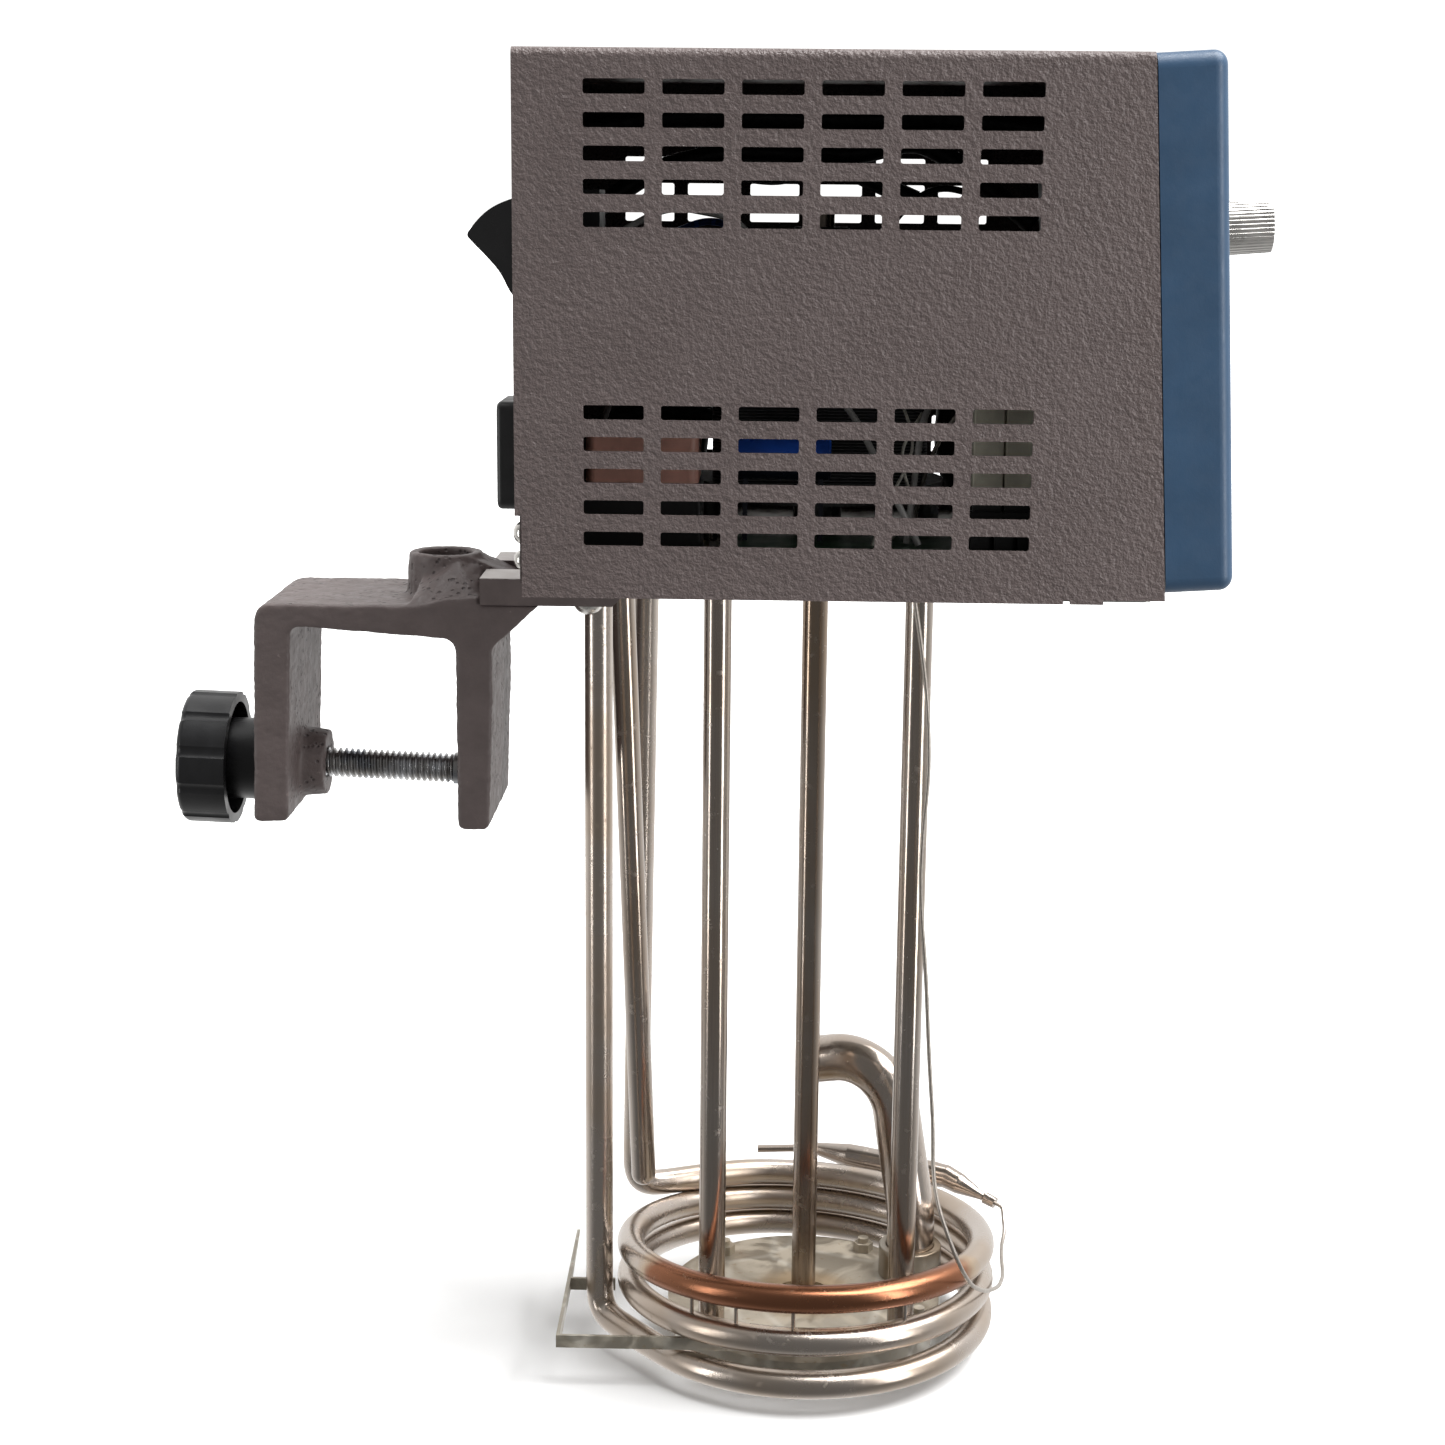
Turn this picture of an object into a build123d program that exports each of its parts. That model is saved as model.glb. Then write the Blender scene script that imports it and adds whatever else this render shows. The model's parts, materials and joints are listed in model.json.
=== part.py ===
from build123d import *
from math import cos, radians, sin, tan
import os

# Immersion thermostat with a pump, a coiled heater and a bath clamp.
# Origin: where the clamp spindle's axis meets the inner face of the fixed jaw.
# +X points to the control panel, +Z up, Y = 0 is the middle plane of the housing.

os.makedirs("parts", exist_ok=True)

# ---- driving dimensions, mm and degrees ----
WIDTH = 190.0            # housing, across Y
SHEET = 1.5              # cover and panel thickness
REAR_X = 27.2            # rear edge of the cover
FRONT_TOP_X = 207.9      # front edge of the cover at its top
TOP_Z = 231.5
BOTTOM_Z = 75.0
LEAN = 3.6               # the control panel leans back from the vertical

BEZEL_DEPTH = 20.0
PANEL_RECESS = 1.5
VENT_PITCH_X = 22.5
VENT_PITCH_Z = 9.2
VENT_LENGTH = 17.6
VENT_HEIGHT = 4.2
VENT_X = 112.4

CLAMP_WIDTH = 58.0
JAW = 12.1               # fixed jaw thickness
SPINDLE_R = 5.0          # trapezoidal thread, 10 mm outside, 2 mm pitch
SPINDLE_LEAN = 2.0       # the spindle rises this much towards its knob, square to the outer jaw
BOSS_X = -6.3            # vertical rod socket on the clamp
BOSS_BORE_R = 8.75

PUMP_X = 117.0           # axis of motor, shaft and pump
SHAFT_R = 4.25
PLATE_TOP = -189.8       # top of the pump plate
PLATE_R = 48.0
COLUMN_R = 4.5
COLUMN_Y = -28.0
COLUMN_X = (85.2, 150.0)

TUBE_R = 4.7             # heater tube
COIL_X = 117.3
COIL_R = 62.0
COIL_PITCH = 12.55
COIL_START_Z = -197.3
COIL_TILT = 2.7          # each turn rises this much more at the front than the one below
COIL_LEAN = 0.4          # the whole coil's rise towards the front
COIL_SIDE = 2.0

OUTLET_XY = (155.6, 18.0)
OUTLET_R = 8.5

KNOB_Y = -55.0
KNOB_Z = 181.4
ROCKER_Y = -61.0
ROCKER_PIVOT = (33.0, 175.0)
INLET_Y = -69.0
INLET_Z = 115.0

# ---- derived places ----
HEIGHT = TOP_Z - BOTTOM_Z
FRONT_BOTTOM_X = FRONT_TOP_X + HEIGHT * tan(radians(LEAN))
SPINDLE_DIR = (cos(radians(SPINDLE_LEAN)), 0, -sin(radians(SPINDLE_LEAN)))
SPINDLE = Plane(origin=(0, 0, 0), x_dir=(0, 1, 0), z_dir=SPINDLE_DIR)
BASE_TOP = BOTTOM_Z + 3.6
BASE_BOTTOM = BOTTOM_Z + 0.6
FRONT_AXIS = (cos(radians(LEAN)), 0, sin(radians(LEAN)))
FRONT = Plane(origin=(FRONT_TOP_X, 0, TOP_Z), x_dir=(0, 1, 0), z_dir=FRONT_AXIS)
BEZEL_HEIGHT = (HEIGHT - 3.4) / cos(radians(LEAN))
BEZEL_MID = -BEZEL_HEIGHT / 2 - 0.2
PANEL_LEVEL = BEZEL_DEPTH - PANEL_RECESS + 0.3
KNOB_UP = (KNOB_Z - TOP_Z) / cos(radians(LEAN))
DISPLAY_AT = (28.0, -44.0)
BAR_SCREWS_AT = ((43.0, -23.5), (43.0, 23.5))
LAMPS_AT = [(8.0 + 20.0 * i, -74.0) for i in range(3)]


def coil_z(angle):
    """Height of the coil's centre line after turning to this angle, from 180 at the left."""
    turns = (angle - 180.0) / 360.0
    a = radians(angle)
    return COIL_START_Z + COIL_PITCH * turns - (COIL_LEAN + COIL_TILT * turns) * sin(a) - COIL_SIDE * cos(a)


def coil_point(angle, radius):
    """A point on the coil's centre line, or outside it at a larger radius."""
    a = radians(angle)
    return (COIL_X + radius * cos(a), radius * sin(a), coil_z(angle))


# ================= housing =================

with BuildPart() as cover:
    with BuildSketch(Plane.XZ):
        with BuildLine():
            Polyline((REAR_X, BOTTOM_Z), (FRONT_BOTTOM_X, BOTTOM_Z),
                     (FRONT_TOP_X, TOP_Z), (REAR_X, TOP_Z), close=True)
        make_face()
    extrude(amount=WIDTH / 2, both=True)
    fillet(cover.edges().filter_by(Axis.X).group_by(Axis.Z)[-1], 2.5)
    with BuildSketch(Plane.XZ):
        with Locations((120, BOTTOM_Z - SHEET + HEIGHT / 2)):
            Rectangle(250, HEIGHT)
    extrude(amount=WIDTH / 2 - SHEET, both=True, mode=Mode.SUBTRACT)
    with BuildSketch(Plane.XZ):
        with Locations((VENT_X, 202.4), (VENT_X, 111.0)):
            with GridLocations(VENT_PITCH_X, VENT_PITCH_Z, 6, 5):
                RectangleRounded(VENT_LENGTH, VENT_HEIGHT, 0.8)
    extrude(amount=WIDTH, both=True, mode=Mode.SUBTRACT)
    # the side walls step in at the rear and up at the front, with a small notch
    with BuildSketch(Plane.XZ):
        with Locations((REAR_X, 85.0)):
            Rectangle(4.0, 28.0)
        with Locations((210.0, BOTTOM_Z)):
            Rectangle(20.6, 2.6)
        with Locations((189.0, BOTTOM_Z)):
            Rectangle(2.0, 2.6)
    extrude(amount=WIDTH, both=True, mode=Mode.SUBTRACT)
cover.part.label = "cover"

with BuildPart() as base_plate:
    with BuildSketch(Plane.XY.offset(BASE_BOTTOM)):
        with Locations(((30.2 + 214.0) / 2, 0)):
            RectangleRounded(214.0 - 30.2, WIDTH - 2 * SHEET - 0.6, 2)
    extrude(amount=BASE_TOP - BASE_BOTTOM)
    with BuildSketch(Plane.XY.offset(BASE_BOTTOM)):
        with Locations((PUMP_X, 0)):
            Circle(9.0)
        with Locations((45.4, -11.3), (58.4, 44.9)):
            Circle(5.5)
        with Locations((50.8, 12.4)):
            Circle(5.2)
        with Locations(*[(x, COLUMN_Y) for x in COLUMN_X]):
            Circle(3.1)
        with Locations((146.5, -37.0)):
            Circle(3.5)
        with Locations(*BAR_SCREWS_AT):
            Circle(2.6)
    extrude(amount=BASE_TOP - BASE_BOTTOM, mode=Mode.SUBTRACT)
base_plate.part.label = "base_plate"

REAR_PLANE = Plane(origin=(REAR_X + 1.3, 0, 0), x_dir=(0, -1, 0), z_dir=(-1, 0, 0))

with BuildPart() as rear_panel:
    with BuildSketch(REAR_PLANE.offset(-SHEET)):
        with Locations((0, (BASE_TOP + TOP_Z - SHEET) / 2)):
            Rectangle(WIDTH - 2 * SHEET - 0.6, TOP_Z - SHEET - BASE_TOP - 0.6)
    extrude(amount=SHEET)
    with BuildSketch(REAR_PLANE.offset(-SHEET)):
        with Locations((-ROCKER_Y, ROCKER_PIVOT[1])):
            Rectangle(22.6, 35.2)
        with Locations((-INLET_Y, INLET_Z)):
            Rectangle(20.6, 27.6)
        with Locations(*[(side * 84.0, z) for side in (-1, 1) for z in (92.6, 84.5)]):
            Circle(2.1)
    extrude(amount=SHEET, mode=Mode.SUBTRACT)
rear_panel.part.label = "rear_panel"

with BuildPart() as rear_screws:
    for y in (-84.0, 84.0):
        for z, head_r in ((92.6, 3.5), (84.5, 3.0)):
            with BuildSketch(Plane(origin=(0, y, z), x_dir=(1, 0, 0), z_dir=(0, -1, 0))):
                with BuildLine():
                    dome = ThreePointArc((REAR_X - 1.5, 0), (REAR_X - 0.7, head_r * 0.72), (REAR_X + 1.3, head_r))
                    Polyline(dome @ 1, (REAR_X + 1.3, 2.0), (REAR_X + 3.3, 2.0), (REAR_X + 3.3, 0), dome @ 0)
                make_face()
            revolve(axis=Axis((0, y, z), (1, 0, 0)))
rear_screws.part.label = "rear_screws"

with BuildPart() as front_bezel:
    with BuildSketch(FRONT.offset(0.3)):
        with Locations((0, BEZEL_MID)):
            RectangleRounded(WIDTH, BEZEL_HEIGHT, 4.5)
    extrude(amount=BEZEL_DEPTH)
    fillet(front_bezel.faces().sort_by(Axis((0, 0, 0), FRONT_AXIS))[-1].edges(), 4.0)
    with BuildSketch(FRONT.offset(0.3)):
        with Locations((0, BEZEL_MID)):
            RectangleRounded(WIDTH - 5, BEZEL_HEIGHT - 5, 2.5)
    extrude(amount=BEZEL_DEPTH - 4.0, mode=Mode.SUBTRACT)
    with BuildSketch(FRONT.offset(PANEL_LEVEL)):
        with Locations((0, BEZEL_MID)):
            RectangleRounded(WIDTH - 18, BEZEL_HEIGHT - 18, 3)
    extrude(amount=5, mode=Mode.SUBTRACT)
    with BuildSketch(FRONT):
        with Locations(DISPLAY_AT):
            Rectangle(66, 27)
        with Locations(*LAMPS_AT):
            Circle(3.2)
        with Locations((KNOB_Y, KNOB_UP)):
            Circle(5.6)
    extrude(amount=30, mode=Mode.SUBTRACT)
front_bezel.part.label = "front_bezel"

with BuildPart() as front_panel:
    with BuildSketch(FRONT.offset(PANEL_LEVEL)):
        with Locations((0, BEZEL_MID)):
            RectangleRounded(WIDTH - 18.4, BEZEL_HEIGHT - 18.4, 2.8)
        with Locations(DISPLAY_AT):
            Rectangle(62, 23, mode=Mode.SUBTRACT)
        with Locations(*LAMPS_AT):
            Circle(2.7, mode=Mode.SUBTRACT)
        with Locations((KNOB_Y, KNOB_UP)):
            Circle(5.2, mode=Mode.SUBTRACT)
    extrude(amount=1.2)
front_panel.part.label = "front_panel"

with BuildPart() as front_chassis:
    with BuildSketch(FRONT.offset(-3.2)):
        with Locations((0, BEZEL_MID - 1)):
            RectangleRounded(WIDTH - 2 * SHEET - 2, BEZEL_HEIGHT - 8, 2)
        with Locations((KNOB_Y, KNOB_UP)):
            Circle(5.1, mode=Mode.SUBTRACT)
        with Locations(DISPLAY_AT):
            Rectangle(70, 34, mode=Mode.SUBTRACT)
        with Locations(*LAMPS_AT):
            Circle(3.5, mode=Mode.SUBTRACT)
    extrude(amount=SHEET)
front_chassis.part.label = "front_chassis"

with BuildPart() as display_window:
    with BuildSketch(FRONT.offset(PANEL_LEVEL - 2.0)):
        with Locations(DISPLAY_AT):
            Rectangle(65.6, 26.6)
    extrude(amount=2.0)
    with BuildSketch(FRONT.offset(PANEL_LEVEL)):
        with Locations(DISPLAY_AT):
            Rectangle(61.6, 22.6)
    extrude(amount=0.9)
display_window.part.label = "display_window"

with BuildPart() as indicator_lamps:
    for spot in LAMPS_AT:
        with BuildSketch(FRONT.offset(3.6)):
            with Locations(spot):
                Circle(2.5)
        extrude(amount=PANEL_LEVEL - 2.4)
    fillet(indicator_lamps.faces().sort_by(Axis((0, 0, 0), FRONT_AXIS))[-3:].edges(), 1.2)
indicator_lamps.part.label = "indicator_lamps"

# ================= temperature setting: knob, shaft and capillary thermostat =================

with BuildPart() as thermostat_body:
    with BuildSketch(FRONT.offset(-28.2)):
        with Locations((KNOB_Y, KNOB_UP)):
            RectangleRounded(32, 34, 2)
    extrude(amount=25)
    with BuildSketch(FRONT.offset(-3.2)):
        with Locations((KNOB_Y, KNOB_UP)):
            Circle(5.0)
    extrude(amount=6.0)
    with BuildSketch(FRONT.offset(-18.0)):
        with Locations((KNOB_Y, KNOB_UP)):
            Circle(3.05)
    extrude(amount=30, mode=Mode.SUBTRACT)
thermostat_body.part.label = "thermostat_body"

with BuildPart() as thermostat_shaft:
    with BuildSketch(FRONT.offset(-17.5)):
        with Locations((KNOB_Y, KNOB_UP)):
            Circle(3.0)
    extrude(amount=17.5 + PANEL_LEVEL + 14.0)
thermostat_shaft.part.label = "thermostat_shaft"

KNOB_LEVEL = PANEL_LEVEL + 2.0
KNOB_LENGTH = 18.0
KNOB_R = 8.2

with BuildPart() as control_knob:
    with BuildSketch(FRONT.offset(KNOB_LEVEL)):
        with Locations((KNOB_Y, KNOB_UP)):
            Circle(KNOB_R)
            with PolarLocations(KNOB_R + 0.1, 40):
                Circle(0.42, mode=Mode.SUBTRACT)
    extrude(amount=KNOB_LENGTH, taper=0.8)
    with BuildSketch(FRONT.offset(KNOB_LEVEL)):
        with Locations((KNOB_Y, KNOB_UP)):
            Circle(3.0)
    extrude(amount=PANEL_LEVEL + 14.0 - KNOB_LEVEL, mode=Mode.SUBTRACT)
control_knob.part.label = "control_knob"

# the sensing bulb lies loose behind the coil, and its capillary runs up beside a column
BULB = [Vector(121.0, 76.0, -166.2), Vector(171.0, 60.2, -170.2), Vector(188.9, 49.0, -175.8)]
BULB_R = 4.7
TAIL = [Vector(99.8, 76.6, -167.2), Vector(119.0, 76.1, -166.3)]

with BuildPart() as sensor_bulb:
    for start, end, outline in (
            (BULB[0], BULB[1], ((-4, 1.4), (4, 2.8), (14, 4.5), (20, BULB_R), (48, BULB_R), (52.6, 4.4))),
            (BULB[1], BULB[2], ((0, 4.4), (6, 4.0), (13, 2.3), (16.6, 1.5), (17.4, 2.3), (21.8, 2.1)))):
        along = (end - start).normalized()
        with BuildSketch(Plane(origin=start, x_dir=along, z_dir=along.cross(Vector(0, 0, 1)))):
            with BuildLine():
                Polyline((outline[0][0], 0), *outline, (outline[-1][0], 0), close=True)
            make_face()
        revolve(axis=Axis(start, along))
    with Locations(BULB[1]):
        Sphere(4.42)
    with BuildSketch(Plane(origin=TAIL[0], z_dir=TAIL[1] - TAIL[0])):
        Ellipse(1.3, 2.1)
    extrude(amount=(TAIL[1] - TAIL[0]).length)
sensor_bulb.part.label = "sensor_bulb"

CAPILLARY_R = 0.7
CRIMP_DIR = (BULB[2] - BULB[1]).normalized()
CAPILLARY_ROUTE = [
    tuple(BULB[1] + CRIMP_DIR * 21.8), tuple(BULB[1] + CRIMP_DIR * 25.0),
    (191.8, 39.0, -182.7), (190.1, 32.0, -184.3), (188.9, 20.0, -184.3), (188.3, 5.0, -184.0),
    (184.5, -18.0, -177.7), (178.2, -34.0, -171.9), (172.3, -46.0, -164.0), (167.6, -52.0, -153.8),
    (163.8, -52.0, -144.0), (160.9, -50.0, -136.3), (159.4, -47.0, -130.3), (158.6, -44.0, -123.0),
    (158.4, -41.5, -109.0), (156.4, -39.0, -84.0), (154.8, -38.0, -57.0), (152.4, -37.0, -34.0),
    (152.2, -37.2, -14.0), (154.2, -37.0, 11.0), (152.8, -37.2, 34.0), (150.2, -37.0, 53.0),
    (147.0, -37.2, 71.0), (146.6, -38.5, 92.0), (152.0, -43.0, 116.0), (168.0, -48.0, 138.0),
    (180.0, -51.0, 152.0), (184.5, -54.0, 161.0)]


def bend_radii(route):
    """One radius for each corner: 0.45 of the shorter run over the tangent of half the turn."""
    points = [Vector(*p) for p in route]
    radii = []
    for before, here, after in zip(points, points[1:], points[2:]):
        turn = (here - before).get_angle(after - here)
        shorter = min((here - before).length, (after - here).length)
        radii.append(0.45 * shorter / tan(radians(turn) / 2))
    return radii


CAPILLARY_RADII = bend_radii(CAPILLARY_ROUTE)
print("capillary bend radii", [round(r, 1) for r in CAPILLARY_RADII])

with BuildPart() as capillary:
    with BuildLine() as capillary_line:
        FilletPolyline(*CAPILLARY_ROUTE, radius=CAPILLARY_RADII)
    with BuildSketch(Plane(origin=CAPILLARY_ROUTE[0], z_dir=capillary_line.line % 0)):
        Circle(CAPILLARY_R)
    sweep()
capillary.part.label = "capillary"

with BuildPart() as capillary_grommet:
    with BuildSketch(Plane.XY.offset(BASE_BOTTOM - 1.5)):
        with Locations((146.6, -37.0)):
            Circle(4.6)
    extrude(amount=1.5)
    with BuildSketch(Plane.XY.offset(BASE_BOTTOM)):
        with Locations((146.6, -37.0)):
            Circle(3.3)
    extrude(amount=BASE_TOP - BASE_BOTTOM + 1)
    with BuildSketch(Plane.XY.offset(BASE_BOTTOM - 2)):
        with Locations((146.9, -37.2)):
            Circle(1.2)
    extrude(amount=10, mode=Mode.SUBTRACT)
capillary_grommet.part.label = "capillary_grommet"

# ================= mains switch and inlet =================

PIVOT_X, PIVOT_Z = ROCKER_PIVOT
ROCKER_R = 16.4
LIP_X = 27.0
LIP_DZ = (ROCKER_R ** 2 - (PIVOT_X - LIP_X) ** 2) ** 0.5

with BuildPart() as rocker_frame:
    with BuildSketch(REAR_PLANE):
        with Locations((-ROCKER_Y, PIVOT_Z)):
            RectangleRounded(26.4, 39.0, 2)
    extrude(amount=2.0)
    with BuildSketch(REAR_PLANE):
        with Locations((-ROCKER_Y, PIVOT_Z)):
            Rectangle(22.2, 34.8)
    extrude(amount=-22.0)
    with BuildSketch(Plane.XZ.offset(-ROCKER_Y - 10.4)):
        with Locations(ROCKER_PIVOT):
            Circle(ROCKER_R + 0.4)
    extrude(amount=20.8, mode=Mode.SUBTRACT)
    with BuildSketch(Plane.XZ.offset(-ROCKER_Y - 12)):
        with Locations(ROCKER_PIVOT):
            Circle(1.55)
    extrude(amount=24, mode=Mode.SUBTRACT)
rocker_frame.part.label = "rocker_frame"

with BuildPart() as rocker:
    with BuildSketch(Plane.XZ.offset(-ROCKER_Y - 10.0)):
        with BuildLine():
            nose = Spline((LIP_X, PIVOT_Z + LIP_DZ), (22.9, 189.0), (17.9, 186.5), (14.0, 183.0), (11.8, 180.2))
            tip = ThreePointArc(nose @ 1, (11.3, 179.1), (11.8, 178.0))
            scoop = Spline(tip @ 1, (15.4, 174.3), (19.0, 170.5), (21.6, 166.9), (23.6, 163.0),
                           (LIP_X, PIVOT_Z - LIP_DZ))
            ThreePointArc(scoop @ 1, (PIVOT_X + ROCKER_R, PIVOT_Z), nose @ 0)
        make_face()
    extrude(amount=20.0)
    with BuildSketch(Plane.XZ.offset(-ROCKER_Y - 10.9)):
        with Locations(ROCKER_PIVOT):
            Circle(1.5)
    extrude(amount=21.8)
rocker.part.label = "rocker"

SOCKET = ((-8.2, -12.2), (8.2, -12.2), (8.2, 12.2), (-4.0, 12.2), (-8.2, 8.0))
INLET_PINS_AT = [(-INLET_Y + dy, INLET_Z + dz) for dy, dz in ((-2, -7), (2, 0), (-2, 7))]

with BuildPart() as mains_inlet:
    with BuildSketch(REAR_PLANE):
        with Locations((-INLET_Y, INLET_Z)):
            RectangleRounded(26.0, 32.0, 3)
    extrude(amount=8.0)
    fillet(mains_inlet.faces().sort_by(Axis.X)[0].edges(), 1.5)
    with BuildSketch(REAR_PLANE):
        with Locations((-INLET_Y, INLET_Z)):
            Rectangle(20.2, 27.2)
    extrude(amount=-14.0)
    with BuildSketch(REAR_PLANE.offset(8.0)):
        with BuildLine():
            Polyline(*[(-INLET_Y + y, INLET_Z + z) for y, z in SOCKET], close=True)
        make_face()
    extrude(amount=-17.0, mode=Mode.SUBTRACT)
    with BuildSketch(REAR_PLANE):
        with Locations(*INLET_PINS_AT):
            Rectangle(4.0, 2.0)
    extrude(amount=-20.0, mode=Mode.SUBTRACT)
mains_inlet.part.label = "mains_inlet"

with BuildPart() as inlet_pins:
    with BuildSketch(REAR_PLANE.offset(-16.0)):
        with Locations(*INLET_PINS_AT):
            Rectangle(4.0, 2.0)
    extrude(amount=20.0)
inlet_pins.part.label = "inlet_pins"

# ================= bath clamp =================

with BuildPart() as clamp_casting:
    with BuildSketch(Plane.XZ):
        with BuildLine():
            Polyline((-67.6, -12.5), (-56.0, -12.5), (-53.4, 53.2), (0, 49.4), (0, -14.1), (10.6, -14.1),
                     (JAW, 30.0), (JAW, 46.8), (27.8, 61.3), (8.2, 61.3), (8.2, 64.0), (-2.0, 63.4), (-12.0, 60.8),
                     (-65.4, 60.8), close=True)
        make_face()
    extrude(amount=CLAMP_WIDTH / 2, both=True)
    along = clamp_casting.edges().filter_by(Axis.Y)
    fillet([e for e in along if abs(e.center().X + 65.4) < 0.5 and e.center().Z > 50], 6.0)
    fillet([e for e in along if abs(e.center().X) < 0.5 and e.center().Z > 40], 4.0)
    fillet([e for e in along if abs(e.center().X + 53.4) < 0.5 and e.center().Z > 50], 2.5)
    fillet([e for e in along if abs(e.center().X - JAW) < 0.5 and e.center().Z > 40], 5.0)
    fillet([e for e in along if e.center().Z < -10], 1.8)
    ends = clamp_casting.faces().filter_by(Axis.Y)
    fillet(ends.edges(), 1.0)
    # web between the rod socket and the arms
    with BuildSketch(Plane.XZ):
        with BuildLine():
            Polyline((BOSS_X, 60.0), (BOSS_X, 74.0), (4.0, 73.6), (26.0, 63.6), (26.0, 60.0), close=True)
        make_face()
    extrude(amount=9.2, both=True)
    # rod socket
    with BuildSketch(Plane.XY.offset(60.0)):
        with Locations((BOSS_X, 0)):
            Circle(13.4)
    extrude(amount=14.8, taper=4)
    # nut boss for the spindle
    with BuildSketch(SPINDLE.offset(-57.0)):
        Circle(12.2)
    extrude(amount=9.8, taper=7)
    with BuildSketch(Plane.XY.offset(56.5)):
        with Locations((BOSS_X, 0)):
            Circle(BOSS_BORE_R)
    extrude(amount=20, mode=Mode.SUBTRACT)
    with BuildSketch(SPINDLE.offset(-75.0)):
        Circle(SPINDLE_R + 0.06)
    extrude(amount=40, mode=Mode.SUBTRACT)
clamp_casting.part.label = "clamp_casting"

with BuildPart() as mounting_bars:
    with BuildSketch(Plane.XY.offset(61.3)):
        with Locations((31.0, -23.75), (31.0, 23.75)):
            Rectangle(45.2, 11.5)
        with Locations((22.2, -19.6), (22.2, 19.6)):
            Rectangle(27.6, 19.8)
        with Locations(*BAR_SCREWS_AT):
            Circle(2.6, mode=Mode.SUBTRACT)
    extrude(amount=8.8)
    tips = mounting_bars.edges().filter_by(Axis.Y).group_by(Axis.Z)[0].group_by(Axis.X)[-1]
    chamfer(tips, 2.5)
mounting_bars.part.label = "mounting_bars"

with BuildPart() as bar_spacers:
    with BuildSketch(Plane.XY.offset(70.1)):
        with Locations(*BAR_SCREWS_AT):
            Rectangle(20.0, 11.0)
            Circle(2.6, mode=Mode.SUBTRACT)
    extrude(amount=BASE_BOTTOM - 70.1)
bar_spacers.part.label = "bar_spacers"

with BuildPart() as bar_screws:
    for x, y in BAR_SCREWS_AT:
        with BuildSketch(Plane.XY.offset(61.3)):
            with Locations((x, y)):
                Circle(2.5)
        extrude(amount=BASE_TOP + 5.0 - 61.3)
        with BuildSketch(Plane.XZ.offset(-y)):
            with BuildLine():
                head = ThreePointArc((x, 57.8), (x + 3.1, 58.7), (x + 4.8, 61.3))
                Polyline(head @ 1, (x, 61.3), head @ 0)
            make_face()
        revolve(axis=Axis((x, y, 0), (0, 0, 1)))
        with BuildSketch(Plane.XY.offset(BASE_TOP)):
            with Locations((x, y)):
                RegularPolygon(4.6, 6)
        extrude(amount=4.0)
bar_screws.part.label = "bar_screws"

TIP = -2.35              # along the spindle, from the fixed jaw
CAP = 2.1
SPINDLE_END = -82.0
STAR = -94.9
STAR_R = 22.4
STAR_LOBES = 11
HUB_R = 14.2

with BuildPart() as pressure_cap:
    with BuildSketch(SPINDLE.offset(TIP - CAP)):
        Circle(5.4)
    extrude(amount=CAP)
    fillet(pressure_cap.faces().sort_by(Axis.X)[-1].edges(), 0.8)
    with BuildSketch(SPINDLE.offset(TIP - CAP)):
        Circle(2.56)
    extrude(amount=CAP - 0.9, mode=Mode.SUBTRACT)
pressure_cap.part.label = "pressure_cap"

with BuildPart() as clamp_spindle:
    with BuildSketch(SPINDLE.offset(SPINDLE_END)):
        Circle(SPINDLE_R)
    extrude(amount=TIP - CAP - 0.3 - SPINDLE_END)
    with BuildSketch(SPINDLE.offset(TIP - CAP - 1.0)):
        Circle(2.5)
    extrude(amount=CAP - 0.3)
clamp_spindle.part.label = "clamp_spindle"

with BuildPart() as star_knob:
    with BuildSketch(SPINDLE.offset(STAR)):
        Circle(STAR_R)
        with PolarLocations(STAR_R + 2.5, STAR_LOBES):
            Circle(3.2, mode=Mode.SUBTRACT)
    extrude(amount=16.4)
    fillet(star_knob.faces().sort_by(Axis.X)[0].edges(), 2.0)
    with BuildSketch(SPINDLE.offset(STAR + 5.0)):
        Circle(STAR_R - 3.4)
    extrude(amount=20, mode=Mode.SUBTRACT)
    with BuildSketch(SPINDLE.offset(STAR + 4.0)):
        Circle(HUB_R - 1.0)
    extrude(amount=21.9, taper=-2)
    with BuildSketch(SPINDLE.offset(STAR + 4.0)):
        with PolarLocations(16.8, 3):
            Rectangle(6.0, 2.0)
    extrude(amount=10.0)
    with BuildSketch(SPINDLE.offset(SPINDLE_END)):
        Circle(SPINDLE_R)
    extrude(amount=20, mode=Mode.SUBTRACT)
star_knob.part.label = "star_knob"

# ================= motor and pump =================

MOTOR_FLOOR = 96.0
STACK_Z = (102.0, 140.0)
ROTOR_R = 22.0

with BuildPart() as motor_standoffs:
    with BuildSketch(Plane.XY.offset(BASE_TOP)):
        with Locations((PUMP_X, 0)):
            with PolarLocations(36.0, 4):
                Circle(4.0)
    extrude(amount=MOTOR_FLOOR - BASE_TOP)
motor_standoffs.part.label = "motor_standoffs"

with BuildPart() as end_shields:
    with BuildSketch(Plane.XY.offset(MOTOR_FLOOR)):
        with Locations((PUMP_X, 0)):
            RectangleRounded(66, 66, 8)
            Circle(41.0)
            Circle(8.0, mode=Mode.SUBTRACT)
    extrude(amount=5.0)
    with BuildSketch(Plane.XY.offset(STACK_Z[1] + 14.0)):
        with Locations((PUMP_X, 0)):
            RectangleRounded(66, 66, 8)
            Circle(8.0, mode=Mode.SUBTRACT)
    extrude(amount=5.0)
    with BuildSketch(Plane.XY.offset(STACK_Z[1])):
        with Locations((PUMP_X, 0)):
            with GridLocations(52, 52, 2, 2):
                Circle(4.0)
    extrude(amount=14.0)
end_shields.part.label = "end_shields"

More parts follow.
